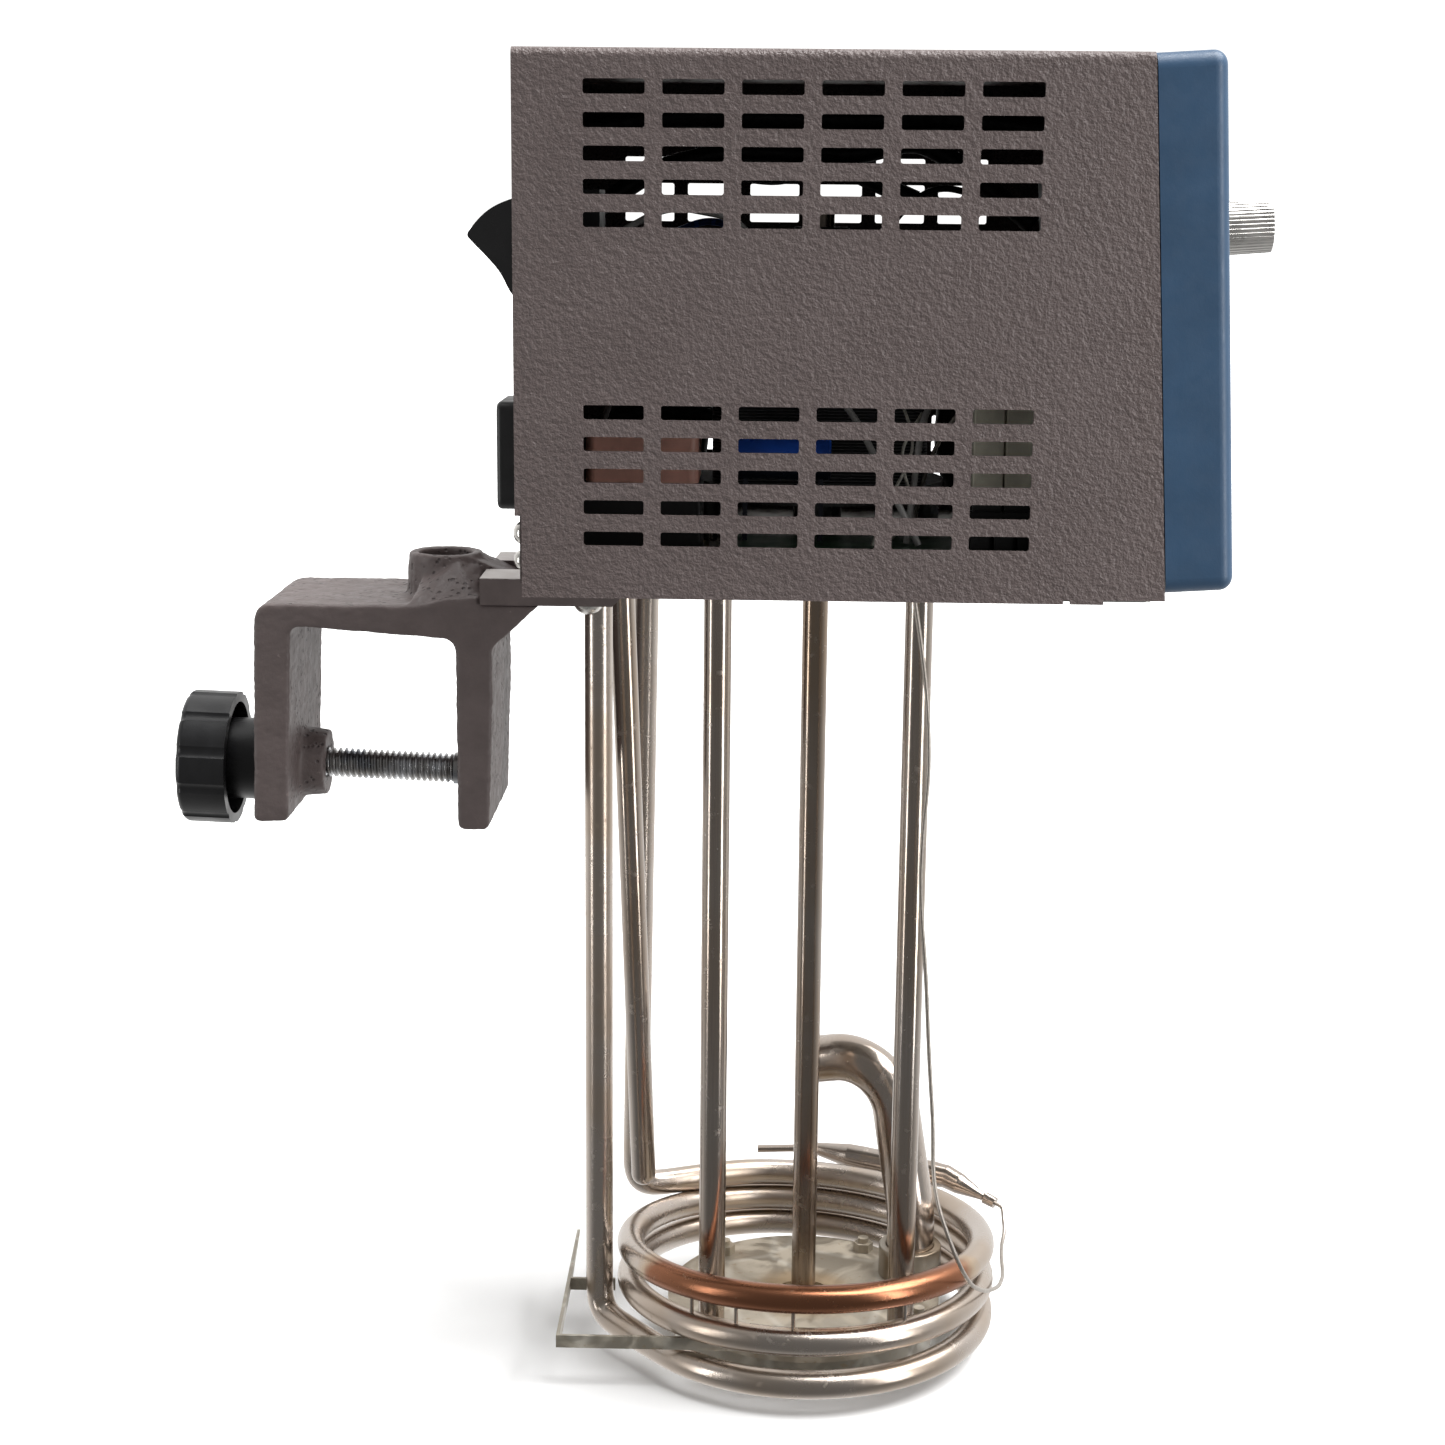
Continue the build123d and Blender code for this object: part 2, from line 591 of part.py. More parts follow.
with BuildPart() as motor_stator:
    with BuildSketch(Plane.XY.offset(STACK_Z[0])):
        with Locations((PUMP_X, 0)):
            RectangleRounded(68, 68, 6)
            Circle(ROTOR_R + 0.5, mode=Mode.SUBTRACT)
            with PolarLocations(26.5, 12):
                Circle(3.2, mode=Mode.SUBTRACT)
    extrude(amount=STACK_Z[1] - STACK_Z[0])
    with BuildSketch(Plane.XY.offset(MOTOR_FLOOR + 5.0)):
        with Locations((PUMP_X, 0)):
            with GridLocations(52, 52, 2, 2):
                Circle(4.0)
    extrude(amount=1.0)
motor_stator.part.label = "motor_stator"

with BuildPart() as motor_windings:
    with BuildSketch(Plane.XY.offset(STACK_Z[1])):
        with Locations((PUMP_X, 0)):
            Circle(30.0)
            Circle(23.5, mode=Mode.SUBTRACT)
    extrude(amount=10.0)
    fillet(motor_windings.faces().sort_by(Axis.Z)[-1].edges(), 2.5)
    with BuildSketch(Plane.XY.offset(STACK_Z[0])):
        with Locations((PUMP_X, 0)):
            with PolarLocations(26.5, 12):
                Circle(3.0)
    extrude(amount=STACK_Z[1] - STACK_Z[0])
motor_windings.part.label = "motor_windings"

with BuildPart() as motor_bearings:
    for z in (MOTOR_FLOOR, STACK_Z[1] + 14.0):
        with BuildSketch(Plane.XY.offset(z)):
            with Locations((PUMP_X, 0)):
                Circle(8.0)
                Circle(4.03, mode=Mode.SUBTRACT)
        extrude(amount=5.0)
motor_bearings.part.label = "motor_bearings"

with BuildPart() as tie_screws:
    with BuildSketch(Plane.XY.offset(STACK_Z[1] + 19.0)):
        with Locations((PUMP_X, 0)):
            with GridLocations(52, 52, 2, 2):
                Circle(3.5)
    extrude(amount=2.6)
tie_screws.part.label = "tie_screws"

with BuildPart() as motor_rotor:
    with BuildSketch(Plane.XY.offset(STACK_Z[0])):
        with Locations((PUMP_X, 0)):
            Circle(ROTOR_R)
            Circle(4.0, mode=Mode.SUBTRACT)
    extrude(amount=STACK_Z[1] - STACK_Z[0])
motor_rotor.part.label = "motor_rotor"

with BuildPart() as motor_shaft:
    with BuildSketch(Plane.XY.offset(88.0)):
        with Locations((PUMP_X, 0)):
            Circle(4.0)
    extrude(amount=98.0)
motor_shaft.part.label = "motor_shaft"

with BuildPart() as cooling_fan:
    with BuildSketch(Plane.XY.offset(164.5)):
        with Locations((PUMP_X, 0)):
            Circle(9.0)
            Circle(4.0, mode=Mode.SUBTRACT)
    extrude(amount=17.0)
    for i in range(6):
        a = radians(60.0 * i)
        lean = radians(28.0)
        blade = Plane(origin=(PUMP_X, 0, 172.5), x_dir=(cos(a), sin(a), 0),
                      z_dir=(-sin(a) * sin(lean), cos(a) * sin(lean), cos(lean)))
        with BuildSketch(blade):
            with Locations((20.0, 0)):
                RectangleRounded(25.0, 13.0, 3)
        extrude(amount=0.7, both=True)
cooling_fan.part.label = "cooling_fan"

with BuildPart() as shaft_coupling:
    with BuildSketch(Plane.XY.offset(81.0)):
        with Locations((PUMP_X, 0)):
            Circle(8.0)
    extrude(amount=13.5)
    with BuildSketch(Plane.XY.offset(88.0)):
        with Locations((PUMP_X, 0)):
            Circle(4.0)
    extrude(amount=10, mode=Mode.SUBTRACT)
    with BuildSketch(Plane.XY.offset(80.0)):
        with Locations((PUMP_X, 0)):
            Circle(SHAFT_R)
    extrude(amount=8.0, mode=Mode.SUBTRACT)
shaft_coupling.part.label = "shaft_coupling"

IMPELLER_Z = -200.6

with BuildPart() as pump_shaft:
    with BuildSketch(Plane.XY.offset(IMPELLER_Z + 2.0)):
        with Locations((PUMP_X, 0)):
            Circle(SHAFT_R)
    extrude(amount=88.0 - IMPELLER_Z - 2.0)
pump_shaft.part.label = "pump_shaft"

with BuildPart() as shaft_seal:
    with BuildSketch(Plane.XY.offset(BASE_BOTTOM)):
        with Locations((PUMP_X, 0)):
            Circle(9.0)
            Circle(SHAFT_R + 0.06, mode=Mode.SUBTRACT)
    extrude(amount=4.0)
shaft_seal.part.label = "shaft_seal"

with BuildPart() as impeller:
    with BuildSketch(Plane.XY.offset(IMPELLER_Z)):
        with Locations((PUMP_X, 0)):
            Circle(36.0)
    extrude(amount=1.6)
    with BuildSketch(Plane.XY.offset(IMPELLER_Z)):
        with Locations((PUMP_X, 0)):
            Circle(7.5)
            with PolarLocations(21.5, 6):
                Rectangle(28.0, 1.6, rotation=24)
    extrude(amount=7.0)
    with BuildSketch(Plane.XY.offset(IMPELLER_Z + 2.0)):
        with Locations((PUMP_X, 0)):
            Circle(SHAFT_R)
    extrude(amount=10, mode=Mode.SUBTRACT)
impeller.part.label = "impeller"

CASING_BOTTOM = -203.5

with BuildPart() as pump_casing:
    with BuildSketch(Plane.XY.offset(CASING_BOTTOM)):
        with Locations((PUMP_X, 0)):
            Circle(PLATE_R - 2)
        with Locations(OUTLET_XY):
            Circle(11.5)
    extrude(amount=PLATE_TOP - 2.5 - CASING_BOTTOM)
    with BuildSketch(Plane.XY.offset(CASING_BOTTOM + 2)):
        with Locations((PUMP_X, 0)):
            Circle(PLATE_R - 7)
        with Locations(OUTLET_XY):
            Circle(7.2)
    extrude(amount=20, mode=Mode.SUBTRACT)
pump_casing.part.label = "pump_casing"

PLATE_SCREWS = [(PUMP_X + dx, dy) for dx, dy in ((-28.5, 32.0), (22.5, 36.5), (40.0, -20.0), (-20.0, -38.5))]

with BuildPart() as pump_plate:
    with BuildSketch(Plane.XY.offset(PLATE_TOP - 2.5)):
        with Locations((PUMP_X, 0)):
            Circle(PLATE_R)
        with Locations(OUTLET_XY):
            Circle(12.5)
        with Locations((PUMP_X, 0)):
            Circle(10.0, mode=Mode.SUBTRACT)
        with Locations(OUTLET_XY):
            Circle(7.2, mode=Mode.SUBTRACT)
    extrude(amount=2.5)
    with BuildSketch(Plane.XY.offset(PLATE_TOP - 2.5)):
        with Locations(*[(x, COLUMN_Y) for x in COLUMN_X]):
            Circle(3.05)
    extrude(amount=2.5, mode=Mode.SUBTRACT)
pump_plate.part.label = "pump_plate"

with BuildPart() as pump_screws:
    with BuildSketch(Plane.XY.offset(PLATE_TOP)):
        with Locations(*PLATE_SCREWS):
            RegularPolygon(3.6, 6)
    extrude(amount=3.2)
    with BuildSketch(Plane.XY.offset(PLATE_TOP + 3.2)):
        with Locations(*PLATE_SCREWS):
            Circle(1.9)
    extrude(amount=1.8)
pump_screws.part.label = "pump_screws"

with BuildPart() as support_columns:
    with BuildSketch(Plane.XY.offset(PLATE_TOP)):
        with Locations(*[(x, COLUMN_Y) for x in COLUMN_X]):
            Circle(COLUMN_R)
    extrude(amount=BASE_BOTTOM - PLATE_TOP)
    with BuildSketch(Plane.XY.offset(PLATE_TOP - 2.5)):
        with Locations(*[(x, COLUMN_Y) for x in COLUMN_X]):
            Circle(3.0)
    extrude(amount=BASE_TOP + 7.0 - PLATE_TOP + 2.5)
support_columns.part.label = "support_columns"

with BuildPart() as column_nuts:
    with BuildSketch(Plane.XY.offset(BASE_TOP)):
        with Locations(*[(x, COLUMN_Y) for x in COLUMN_X]):
            RegularPolygon(5.8, 6)
            Circle(3.05, mode=Mode.SUBTRACT)
    extrude(amount=5.0)
column_nuts.part.label = "column_nuts"

with BuildPart() as outlet_socket:
    with BuildSketch(Plane.XY.offset(PLATE_TOP)):
        with Locations(OUTLET_XY):
            Circle(11.2)
            Circle(OUTLET_R + 0.05, mode=Mode.SUBTRACT)
    extrude(amount=11.4)
    fillet(outlet_socket.faces().sort_by(Axis.Z)[-1].edges(), 0.6)
outlet_socket.part.label = "outlet_socket"

OUTLET_ROUTE = [(OUTLET_XY[0], OUTLET_XY[1], PLATE_TOP + 0.2), (OUTLET_XY[0], OUTLET_XY[1], -166.0),
                (146.2, 24.0, -108.0), (118.5, 34.6, -115.0)]

with BuildPart() as outlet_pipe:
    with BuildLine() as outlet_line:
        FilletPolyline(*OUTLET_ROUTE, radius=[60.0, 20.0])
    with BuildSketch(Plane(origin=OUTLET_ROUTE[0], z_dir=(0, 0, 1))):
        Circle(OUTLET_R)
        Circle(OUTLET_R - 1.2, mode=Mode.SUBTRACT)
    sweep()
outlet_pipe.part.label = "outlet_pipe"

# ================= heater and probe =================

FIRST_ANGLE = 235.0
LAST_ANGLE = 1180.0
COIL_STEPS = 32
STEP = (LAST_ANGLE - FIRST_ANGLE) / COIL_STEPS
CORNER_R = COIL_R / cos(radians(STEP / 2))
LEG_TOP = 100.0
LEG_LOW = (45.4, -11.3)
LEG_HIGH = ((58.4, 45.0), (54.9, 39.6))

HEATER_ROUTE = [(*LEG_LOW, LEG_TOP), (*LEG_LOW, coil_z(217.0))]
HEATER_ROUTE += [coil_point(FIRST_ANGLE + STEP * i, CORNER_R) for i in range(COIL_STEPS + 1)]
HEATER_ROUTE += [(*LEG_HIGH[1], -171.1), (*LEG_HIGH[0], LEG_TOP)]
HEATER_RADII = [27.0] + [0.9 * COIL_R] * (COIL_STEPS + 1) + [15.0]

with BuildPart() as heater_element:
    with BuildLine() as heater_line:
        FilletPolyline(*HEATER_ROUTE, radius=HEATER_RADII)
    with BuildSketch(Plane(origin=HEATER_ROUTE[0], z_dir=heater_line.line % 0)):
        Circle(TUBE_R)
    sweep()
heater_element.part.label = "heater_element"

with BuildPart() as gland_nuts:
    with BuildSketch(Plane.XY.offset(BASE_TOP)):
        with Locations(LEG_LOW, (58.2, 44.7), (50.7, 12.3)):
            RegularPolygon(7.6, 6)
            Circle(TUBE_R + 0.35, mode=Mode.SUBTRACT)
    extrude(amount=7.0)
gland_nuts.part.label = "gland_nuts"

with BuildPart() as heater_terminals:
    with BuildSketch(Plane.XY.offset(LEG_TOP)):
        with Locations(LEG_LOW, LEG_HIGH[0]):
            Circle(3.2)
    extrude(amount=4.0)
    with BuildSketch(Plane.XY.offset(LEG_TOP + 4.0)):
        with Locations(LEG_LOW, LEG_HIGH[0]):
            Circle(1.2)
    extrude(amount=9.0)
heater_terminals.part.label = "heater_terminals"

PROBE_TOP = Vector(50.2, 11.6, 96.0)
PROBE_END = Vector(58.9, 24.4, -160.0)
PROBE_R = 4.4

with BuildPart() as temperature_probe:
    with BuildSketch(Plane(origin=PROBE_END, z_dir=PROBE_TOP - PROBE_END)):
        Circle(PROBE_R)
    extrude(amount=(PROBE_TOP - PROBE_END).length)
    fillet(temperature_probe.edges().sort_by(Axis.Z)[0], PROBE_R - 0.3)
temperature_probe.part.label = "temperature_probe"

with BuildPart() as coil_spacers:
    for angle in (952.0, 968.0, 986.0, 1022.0):
        low = coil_z(angle - 360.0) + TUBE_R - 0.1
        with BuildSketch(Plane(origin=(*coil_point(angle, COIL_R)[:2], low))):
            Circle(0.7)
        extrude(amount=coil_z(angle) - TUBE_R + 0.1 - low)
coil_spacers.part.label = "coil_spacers"

# the guard strip keeps the coil off the bath wall: a near leg, a side that runs to a point and a short leg
STRIP_Z = (-188.5, -184.1)
STRIP_X = 33.4
STRIP_Y = -48.0
STRIP = 1.2

with BuildPart() as guard_strip:
    with BuildSketch(Plane.XZ.offset(-STRIP_Y)):
        with BuildLine():
            Polyline((STRIP_X, STRIP_Z[0]), (101.0, STRIP_Z[0]), (101.0, PLATE_TOP), (111.0, PLATE_TOP),
                     (111.0, STRIP_Z[1]), (STRIP_X, STRIP_Z[1]), close=True)
        make_face()
    extrude(amount=-STRIP)
    with BuildSketch(Plane.YZ.offset(STRIP_X)):
        with BuildLine():
            Polyline((STRIP_Y, STRIP_Z[0]), (-3.0, STRIP_Z[0]), (37.0, STRIP_Z[1] - 0.5),
                     (37.0, STRIP_Z[1]), (STRIP_Y, STRIP_Z[1]), close=True)
        make_face()
    extrude(amount=STRIP)
    with BuildSketch(Plane.XZ.offset(4.2)):
        with BuildLine():
            Polyline((STRIP_X, STRIP_Z[0]), (50.4, STRIP_Z[0]), (50.4, STRIP_Z[1]),
                     (STRIP_X, STRIP_Z[1]), close=True)
        make_face()
    extrude(amount=-STRIP)
guard_strip.part.label = "guard_strip"

# ================= electrical parts on the base =================

BOARD_BOTTOM = BASE_TOP + 8.0
BOARD_TOP = BOARD_BOTTOM + 1.6
BOARD_AT = (141.0, -64.0)

with BuildPart() as circuit_board:
    with BuildSketch(Plane.XY.offset(BOARD_BOTTOM)):
        with Locations(BOARD_AT):
            Rectangle(108.0, 44.0)
    extrude(amount=1.6)
circuit_board.part.label = "circuit_board"

with BuildPart() as board_standoffs:
    with BuildSketch(Plane.XY.offset(BASE_TOP)):
        with Locations(BOARD_AT):
            with GridLocations(100, 36, 2, 2):
                RegularPolygon(3.0, 6)
    extrude(amount=8.0)
board_standoffs.part.label = "board_standoffs"

with BuildPart() as transformer:
    with BuildSketch(Plane.XY.offset(BASE_TOP)):
        with Locations((62.0, -46.0)):
            RectangleRounded(37.0, 27.0, 1)
    extrude(amount=24.6)
    with BuildSketch(Plane.XY.offset(BASE_TOP + 24.6)):
        with Locations((62.5, -46.5)):
            RectangleRounded(34.5, 31.0, 3)
    extrude(amount=17.0)
transformer.part.label = "transformer"

with BuildPart() as motor_capacitor:
    with BuildSketch(Plane.YZ.offset(91.0)):
        with Locations((-60.0, 113.6)):
            Circle(7.0)
    extrude(amount=29.0)
    fillet(motor_capacitor.edges(), 1.2)
    with BuildSketch(Plane.XY.offset(BOARD_TOP)):
        with Locations((94.0, -60.0), (117.0, -60.0)):
            Rectangle(1.5, 5.0)
    extrude(amount=20.0)
motor_capacitor.part.label = "motor_capacitor"

with BuildPart() as terminal_blocks:
    with BuildSketch(Plane.XY.offset(BOARD_TOP)):
        with Locations((171.0, -66.0)):
            RectangleRounded(22.0, 24.0, 1)
    extrude(amount=11.4)
    with BuildSketch(Plane.XY.offset(BOARD_TOP)):
        with Locations((171.0, -81.0)):
            with GridLocations(7.0, 1, 3, 1):
                Rectangle(5.6, 6.0)
    extrude(amount=8.0)
terminal_blocks.part.label = "terminal_blocks"

with BuildPart() as relays:
    with BuildSketch(Plane.XY.offset(BOARD_TOP + 11.4)):
        with Locations((166.5, -66.0), (176.0, -66.0)):
            RectangleRounded(9.0, 20.0, 0.5)
    extrude(amount=31.6)
relays.part.label = "relays"

WIRES = [
    [(45.4, -11.3, 114.6), (52.0, -22.0, 132.0), (66.0, -40.0, 134.0), (66.0, -46.0, 121.4)],
    [(51.9, -61.0, 178.0), (70.0, -56.0, 188.0), (92.0, -48.0, 184.0), (104.0, -28.0, 160.0)],
    [(166.0, -66.0, 132.0), (158.0, -62.0, 142.0), (147.0, -70.0, 128.0), (143.0, -70.0, 89.0)],
    [(51.9, -67.0, 172.0), (66.0, -70.0, 150.0), (120.0, -76.0, 140.0), (146.5, -74.0, 89.0)],
]

with BuildPart() as wires:
    for route in WIRES:
        with BuildLine() as wire_line:
            FilletPolyline(*route, radius=[0.8 * r for r in bend_radii(route)])
        with BuildSketch(Plane(origin=route[0], z_dir=wire_line.line % 0)):
            Circle(1.0)
        sweep(path=wire_line.line)
wires.part.label = "wires"

PIECES = (
    cover, base_plate, rear_panel, rear_screws, front_bezel, front_panel, front_chassis, display_window,
    indicator_lamps, thermostat_body, thermostat_shaft, control_knob,
    sensor_bulb, capillary, capillary_grommet, rocker_frame, rocker, mains_inlet,
    inlet_pins, clamp_casting, mounting_bars, bar_spacers, bar_screws, pressure_cap, clamp_spindle,
    star_knob, motor_standoffs, end_shields, motor_stator, motor_windings,
    motor_bearings, tie_screws, motor_rotor, motor_shaft, cooling_fan, shaft_coupling, pump_shaft,
    shaft_seal, impeller, pump_casing, pump_plate, pump_screws, support_columns, column_nuts,
    outlet_socket, outlet_pipe, heater_element, gland_nuts, heater_terminals, temperature_probe,
    coil_spacers, guard_strip, circuit_board, board_standoffs, transformer, motor_capacitor,
    terminal_blocks, relays, wires)

for piece in PIECES:
    export_step(piece.part, f"parts/{piece.part.label}.step")
print(len(PIECES), "pieces")
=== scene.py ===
import json
from math import cos, pi, radians, sin

import bmesh
import bpy
import numpy as np
from bpy.props import FloatProperty, FloatVectorProperty, PointerProperty
from mathutils import Matrix, Vector


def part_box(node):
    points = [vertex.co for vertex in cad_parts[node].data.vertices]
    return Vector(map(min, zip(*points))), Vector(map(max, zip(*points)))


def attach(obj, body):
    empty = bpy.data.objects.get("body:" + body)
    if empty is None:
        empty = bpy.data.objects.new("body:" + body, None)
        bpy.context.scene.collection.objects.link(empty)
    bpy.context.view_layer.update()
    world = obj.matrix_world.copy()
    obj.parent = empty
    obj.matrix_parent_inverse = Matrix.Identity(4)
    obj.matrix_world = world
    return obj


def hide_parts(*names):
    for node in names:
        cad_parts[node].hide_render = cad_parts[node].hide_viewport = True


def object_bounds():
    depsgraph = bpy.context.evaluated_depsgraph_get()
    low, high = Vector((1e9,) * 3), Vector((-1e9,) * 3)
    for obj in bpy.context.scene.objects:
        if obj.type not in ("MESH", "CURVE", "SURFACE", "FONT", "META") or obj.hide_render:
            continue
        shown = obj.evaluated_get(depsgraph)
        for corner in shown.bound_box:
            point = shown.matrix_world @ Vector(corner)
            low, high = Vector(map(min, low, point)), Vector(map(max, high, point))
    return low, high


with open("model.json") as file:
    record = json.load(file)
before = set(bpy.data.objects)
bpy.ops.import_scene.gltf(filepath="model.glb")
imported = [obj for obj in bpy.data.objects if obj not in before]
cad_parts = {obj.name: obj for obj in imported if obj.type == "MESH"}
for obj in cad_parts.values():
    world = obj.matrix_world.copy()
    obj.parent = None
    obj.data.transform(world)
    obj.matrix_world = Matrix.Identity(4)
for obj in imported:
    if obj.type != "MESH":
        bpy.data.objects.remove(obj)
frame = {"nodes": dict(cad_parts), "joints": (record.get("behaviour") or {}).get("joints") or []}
CAD_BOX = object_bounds()
MM = 0.001

bl_info = {
    "name": "Immersion Thermostat Looks",
    "version": (1, 0, 0),
    "blender": (4, 5, 0),
    "location": "View3D > Sidebar > Thermostat",
    "description": "Finishes and fine shapes for an immersion thermostat with a coiled heater and a bath clamp",
    "category": "Object",
}

ROOT = "thermostat_head"
SPINDLE_JOINT = next(j for j in frame["joints"] if j["name"] == "spindle_turn")
KNOB_JOINT = next(j for j in frame["joints"] if j["name"] == "knob_turn")
PUMP_JOINT = next(j for j in frame["joints"] if j["name"] == "pump_spin")


def spans(node):
    """Lowest corner, highest corner and middle of a CAD node, as arrays."""
    low, high = (np.array(corner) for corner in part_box(node))
    return low, high, (low + high) / 2


# ---------------------------------------------------------------- settings

def length(label, default, about):
    return FloatProperty(name=label, description=about, default=default, unit="LENGTH", precision=5)


def colour(label, default, about):
    return FloatVectorProperty(name=label, description=about, default=default, subtype="COLOR", min=0, max=1)


_, HEATER_TOP, _ = spans("heater_element")

# The heater's coil and legs, in millimetres.
COIL_START = -197.3
COIL_LEAN = 0.4
COIL_TILT = 2.7
COIL_SIDE = 2.0
FIRST_LEG = (45.4, -11.3)
SECOND_LEG_FOOT = (54.9, 39.6)
SECOND_LEG_HEAD = (58.4, 45.0)

# The clamp: the spindle's outside radius, where its thread ends, and the corners of one gusset between the rod
# socket and the bridge, in millimetres. The other gusset mirrors Y.
SPINDLE_RADIUS = 5.0
THREAD_END = -4.9
GUSSET_CORNERS = (
    (7.4, 9.0, 70.4), (7.4, 9.0, 60.0), (-1.0, 11.4, 73.0), (-13.0, 12.0, 67.0), (-15.0, 27.4, 60.0),
    (-15.0, 27.4, 61.2), (6.4, 27.4, 61.6), (6.4, 27.4, 60.0), (-13.0, 12.0, 60.0))

# The dial: number of marks, and their inner, short and long reach from the knob's axis, in millimetres.
MARK_COUNT = 41
MARK_INNER, MARK_SHORT, MARK_LONG = 12.2, 14.2, 16.0

# The camera in metres and degrees, and the direction that the top light comes from.
CAMERA_PLACE = (0.104875, -0.79127, 0.19075)
CAMERA_PITCH, CAMERA_YAW, CAMERA_ROLL = 12.36, 1.34, 0.56
TOP_LIGHT_FROM = (0.42, -0.03, 0.91)


class HeaterSizes(bpy.types.PropertyGroup):
    """The heater's one long tube."""
    tube_radius: length("Tube radius", 4.7 * MM, "Radius of the heater tube")
    coil_radius: length("Coil radius", 62.0 * MM, "Radius of the coil at the middle of the tube")
    pitch: length("Pitch", 12.55 * MM, "Rise of the coil in one turn")
    first_angle: FloatProperty(name="First angle", description="Where the first leg meets the coil",
                               default=radians(220.2), subtype="ANGLE")
    last_angle: FloatProperty(name="Last angle", description="Where the coil turns to the second leg",
                              default=radians(1194.8), subtype="ANGLE")


class ClampSizes(bpy.types.PropertyGroup):
    """The bath clamp's screw."""
    thread_pitch: length("Thread pitch", 2.0 * MM, "Rise of the spindle's thread in one turn")
    thread_depth: length("Thread depth", 1.0 * MM, "Depth of the thread's groove")
    cast_grain: length("Cast grain", 0.25 * MM, "Height of the casting's uneven skin")


class PaintColours(bpy.types.PropertyGroup):
    """Colours that a user may change."""
    case: colour("Case", (0.128, 0.101, 0.097), "Textured paint of the housing")
    bezel: colour("Front frame", (0.034, 0.078, 0.146), "Satin paint of the front frame")
    panel: colour("Panel", (0.20, 0.205, 0.21), "Printed front panel")
    steel: colour("Stainless", (0.50, 0.445, 0.40), "Stainless steel that has been in hot water")
    heat: colour("Heat tint", (0.27, 0.115, 0.062), "Copper-coloured heat tint of the top turn")


class StageSizes(bpy.types.PropertyGroup):
    """Camera, floor and light."""
    lens: FloatProperty(name="Lens", description="Focal length of the camera", default=59.8, min=10, max=200)
    floor_size: length("Floor", 60.0, "Side of the floor")
    sun_power: FloatProperty(name="Top light", description="Strength of the soft light from above",
                             default=6.2, min=0, max=30)
    backdrop: FloatProperty(name="Backdrop", description="Brightness of the backdrop", default=1.15,
                            min=0, max=5)


# ---------------------------------------------------------------- finishes

class Finish:
    """A node material under construction. Each method adds one node and returns its output."""

    def __init__(self, name, colour=(0.5, 0.5, 0.5), metallic=0.0, roughness=0.5, **sockets):
        self.material = bpy.data.materials.new(name)
        self.material.use_nodes = True
        self.tree = self.material.node_tree
        self.shader = next(n for n in self.tree.nodes if n.type == "BSDF_PRINCIPLED")
        self.shader.inputs["Base Color"].default_value = (*colour, 1)
        self.shader.inputs["Metallic"].default_value = metallic
        self.shader.inputs["Roughness"].default_value = roughness
        for socket, value in sockets.items():
            self.shader.inputs[socket.replace("_", " ")].default_value = value
        self.coordinates = self.tree.nodes.new("ShaderNodeTexCoord")
        self.normal = None

    def add(self, kind, settings=(), **inputs):
        """A node with its settings and inputs; an input named i3 is input number 3."""
        node = self.tree.nodes.new(kind)
        for key, value in dict(settings).items():
            setattr(node, key, value)
        for key, value in inputs.items():
            self.feed(node.inputs[int(key[1:]) if key[0] == "i" and key[1:].isdigit() else key], value)
        return node

    def feed(self, socket, value):
        if isinstance(value, bpy.types.NodeSocket):
            self.tree.links.new(value, socket)
        elif socket.type == "RGBA":
            socket.default_value = (*value, 1)[:4]
        else:
            socket.default_value = value

    def place(self, stretch=(1, 1, 1), source="Object", offset=(0, 0, 0)):
        return self.add("ShaderNodeMapping", Vector=self.coordinates.outputs[source], Scale=stretch,
                        Location=offset).outputs[0]

    def noise(self, scale, detail=3.0, where=None, distortion=0.0, roughness=0.55):
        where = where or self.coordinates.outputs["Object"]
        return self.add("ShaderNodeTexNoise", Vector=where, Scale=scale, Detail=detail,
                        Distortion=distortion, Roughness=roughness).outputs[0]

    def cells(self, scale, where=None, feature="F1"):
        where = where or self.coordinates.outputs["Object"]
        return self.add("ShaderNodeTexVoronoi", {"feature": feature}, Vector=where, Scale=scale).outputs[0]

    def ramp(self, value, low, high, start=0.0, end=1.0):
        return self.add("ShaderNodeMapRange", {"interpolation_type": "SMOOTHSTEP"}, i0=value, i1=low, i2=high,
                        i3=start, i4=end).outputs[0]

    def mix(self, factor, first, second, blend="MIX"):
        return self.add("ShaderNodeMix", {"data_type": "RGBA", "blend_type": blend}, i0=factor, i6=first,
                        i7=second).outputs[2]

    def sums(self, first, second, how="ADD"):
        return self.add("ShaderNodeMath", {"operation": how}, i0=first, i1=second).outputs[0]

    def axis(self, name, source="Object"):
        parts = self.add("ShaderNodeSeparateXYZ", Vector=self.coordinates.outputs[source])
        return parts.outputs[name]

    def bump(self, height, depth, strength=1.0):
        """One layer of relief: depth in metres for a height of one."""
        node = self.add("ShaderNodeBump", Height=height, Distance=depth, Strength=strength)
        if self.normal is not None:
            self.tree.links.new(self.normal, node.inputs["Normal"])
        self.normal = node.outputs[0]
        return self

    def paint(self, colour=None, roughness=None, metallic=None):
        for socket, value in (("Base Color", colour), ("Roughness", roughness), ("Metallic", metallic)):
            if value is not None:
                self.feed(self.shader.inputs[socket], value)
        if self.normal is not None:
            self.tree.links.new(self.normal, self.shader.inputs["Normal"])
        return self.material


def shade(colour, factor):
    """The colour times a factor, held at one."""
    return tuple(min(1.0, c * factor) for c in colour)


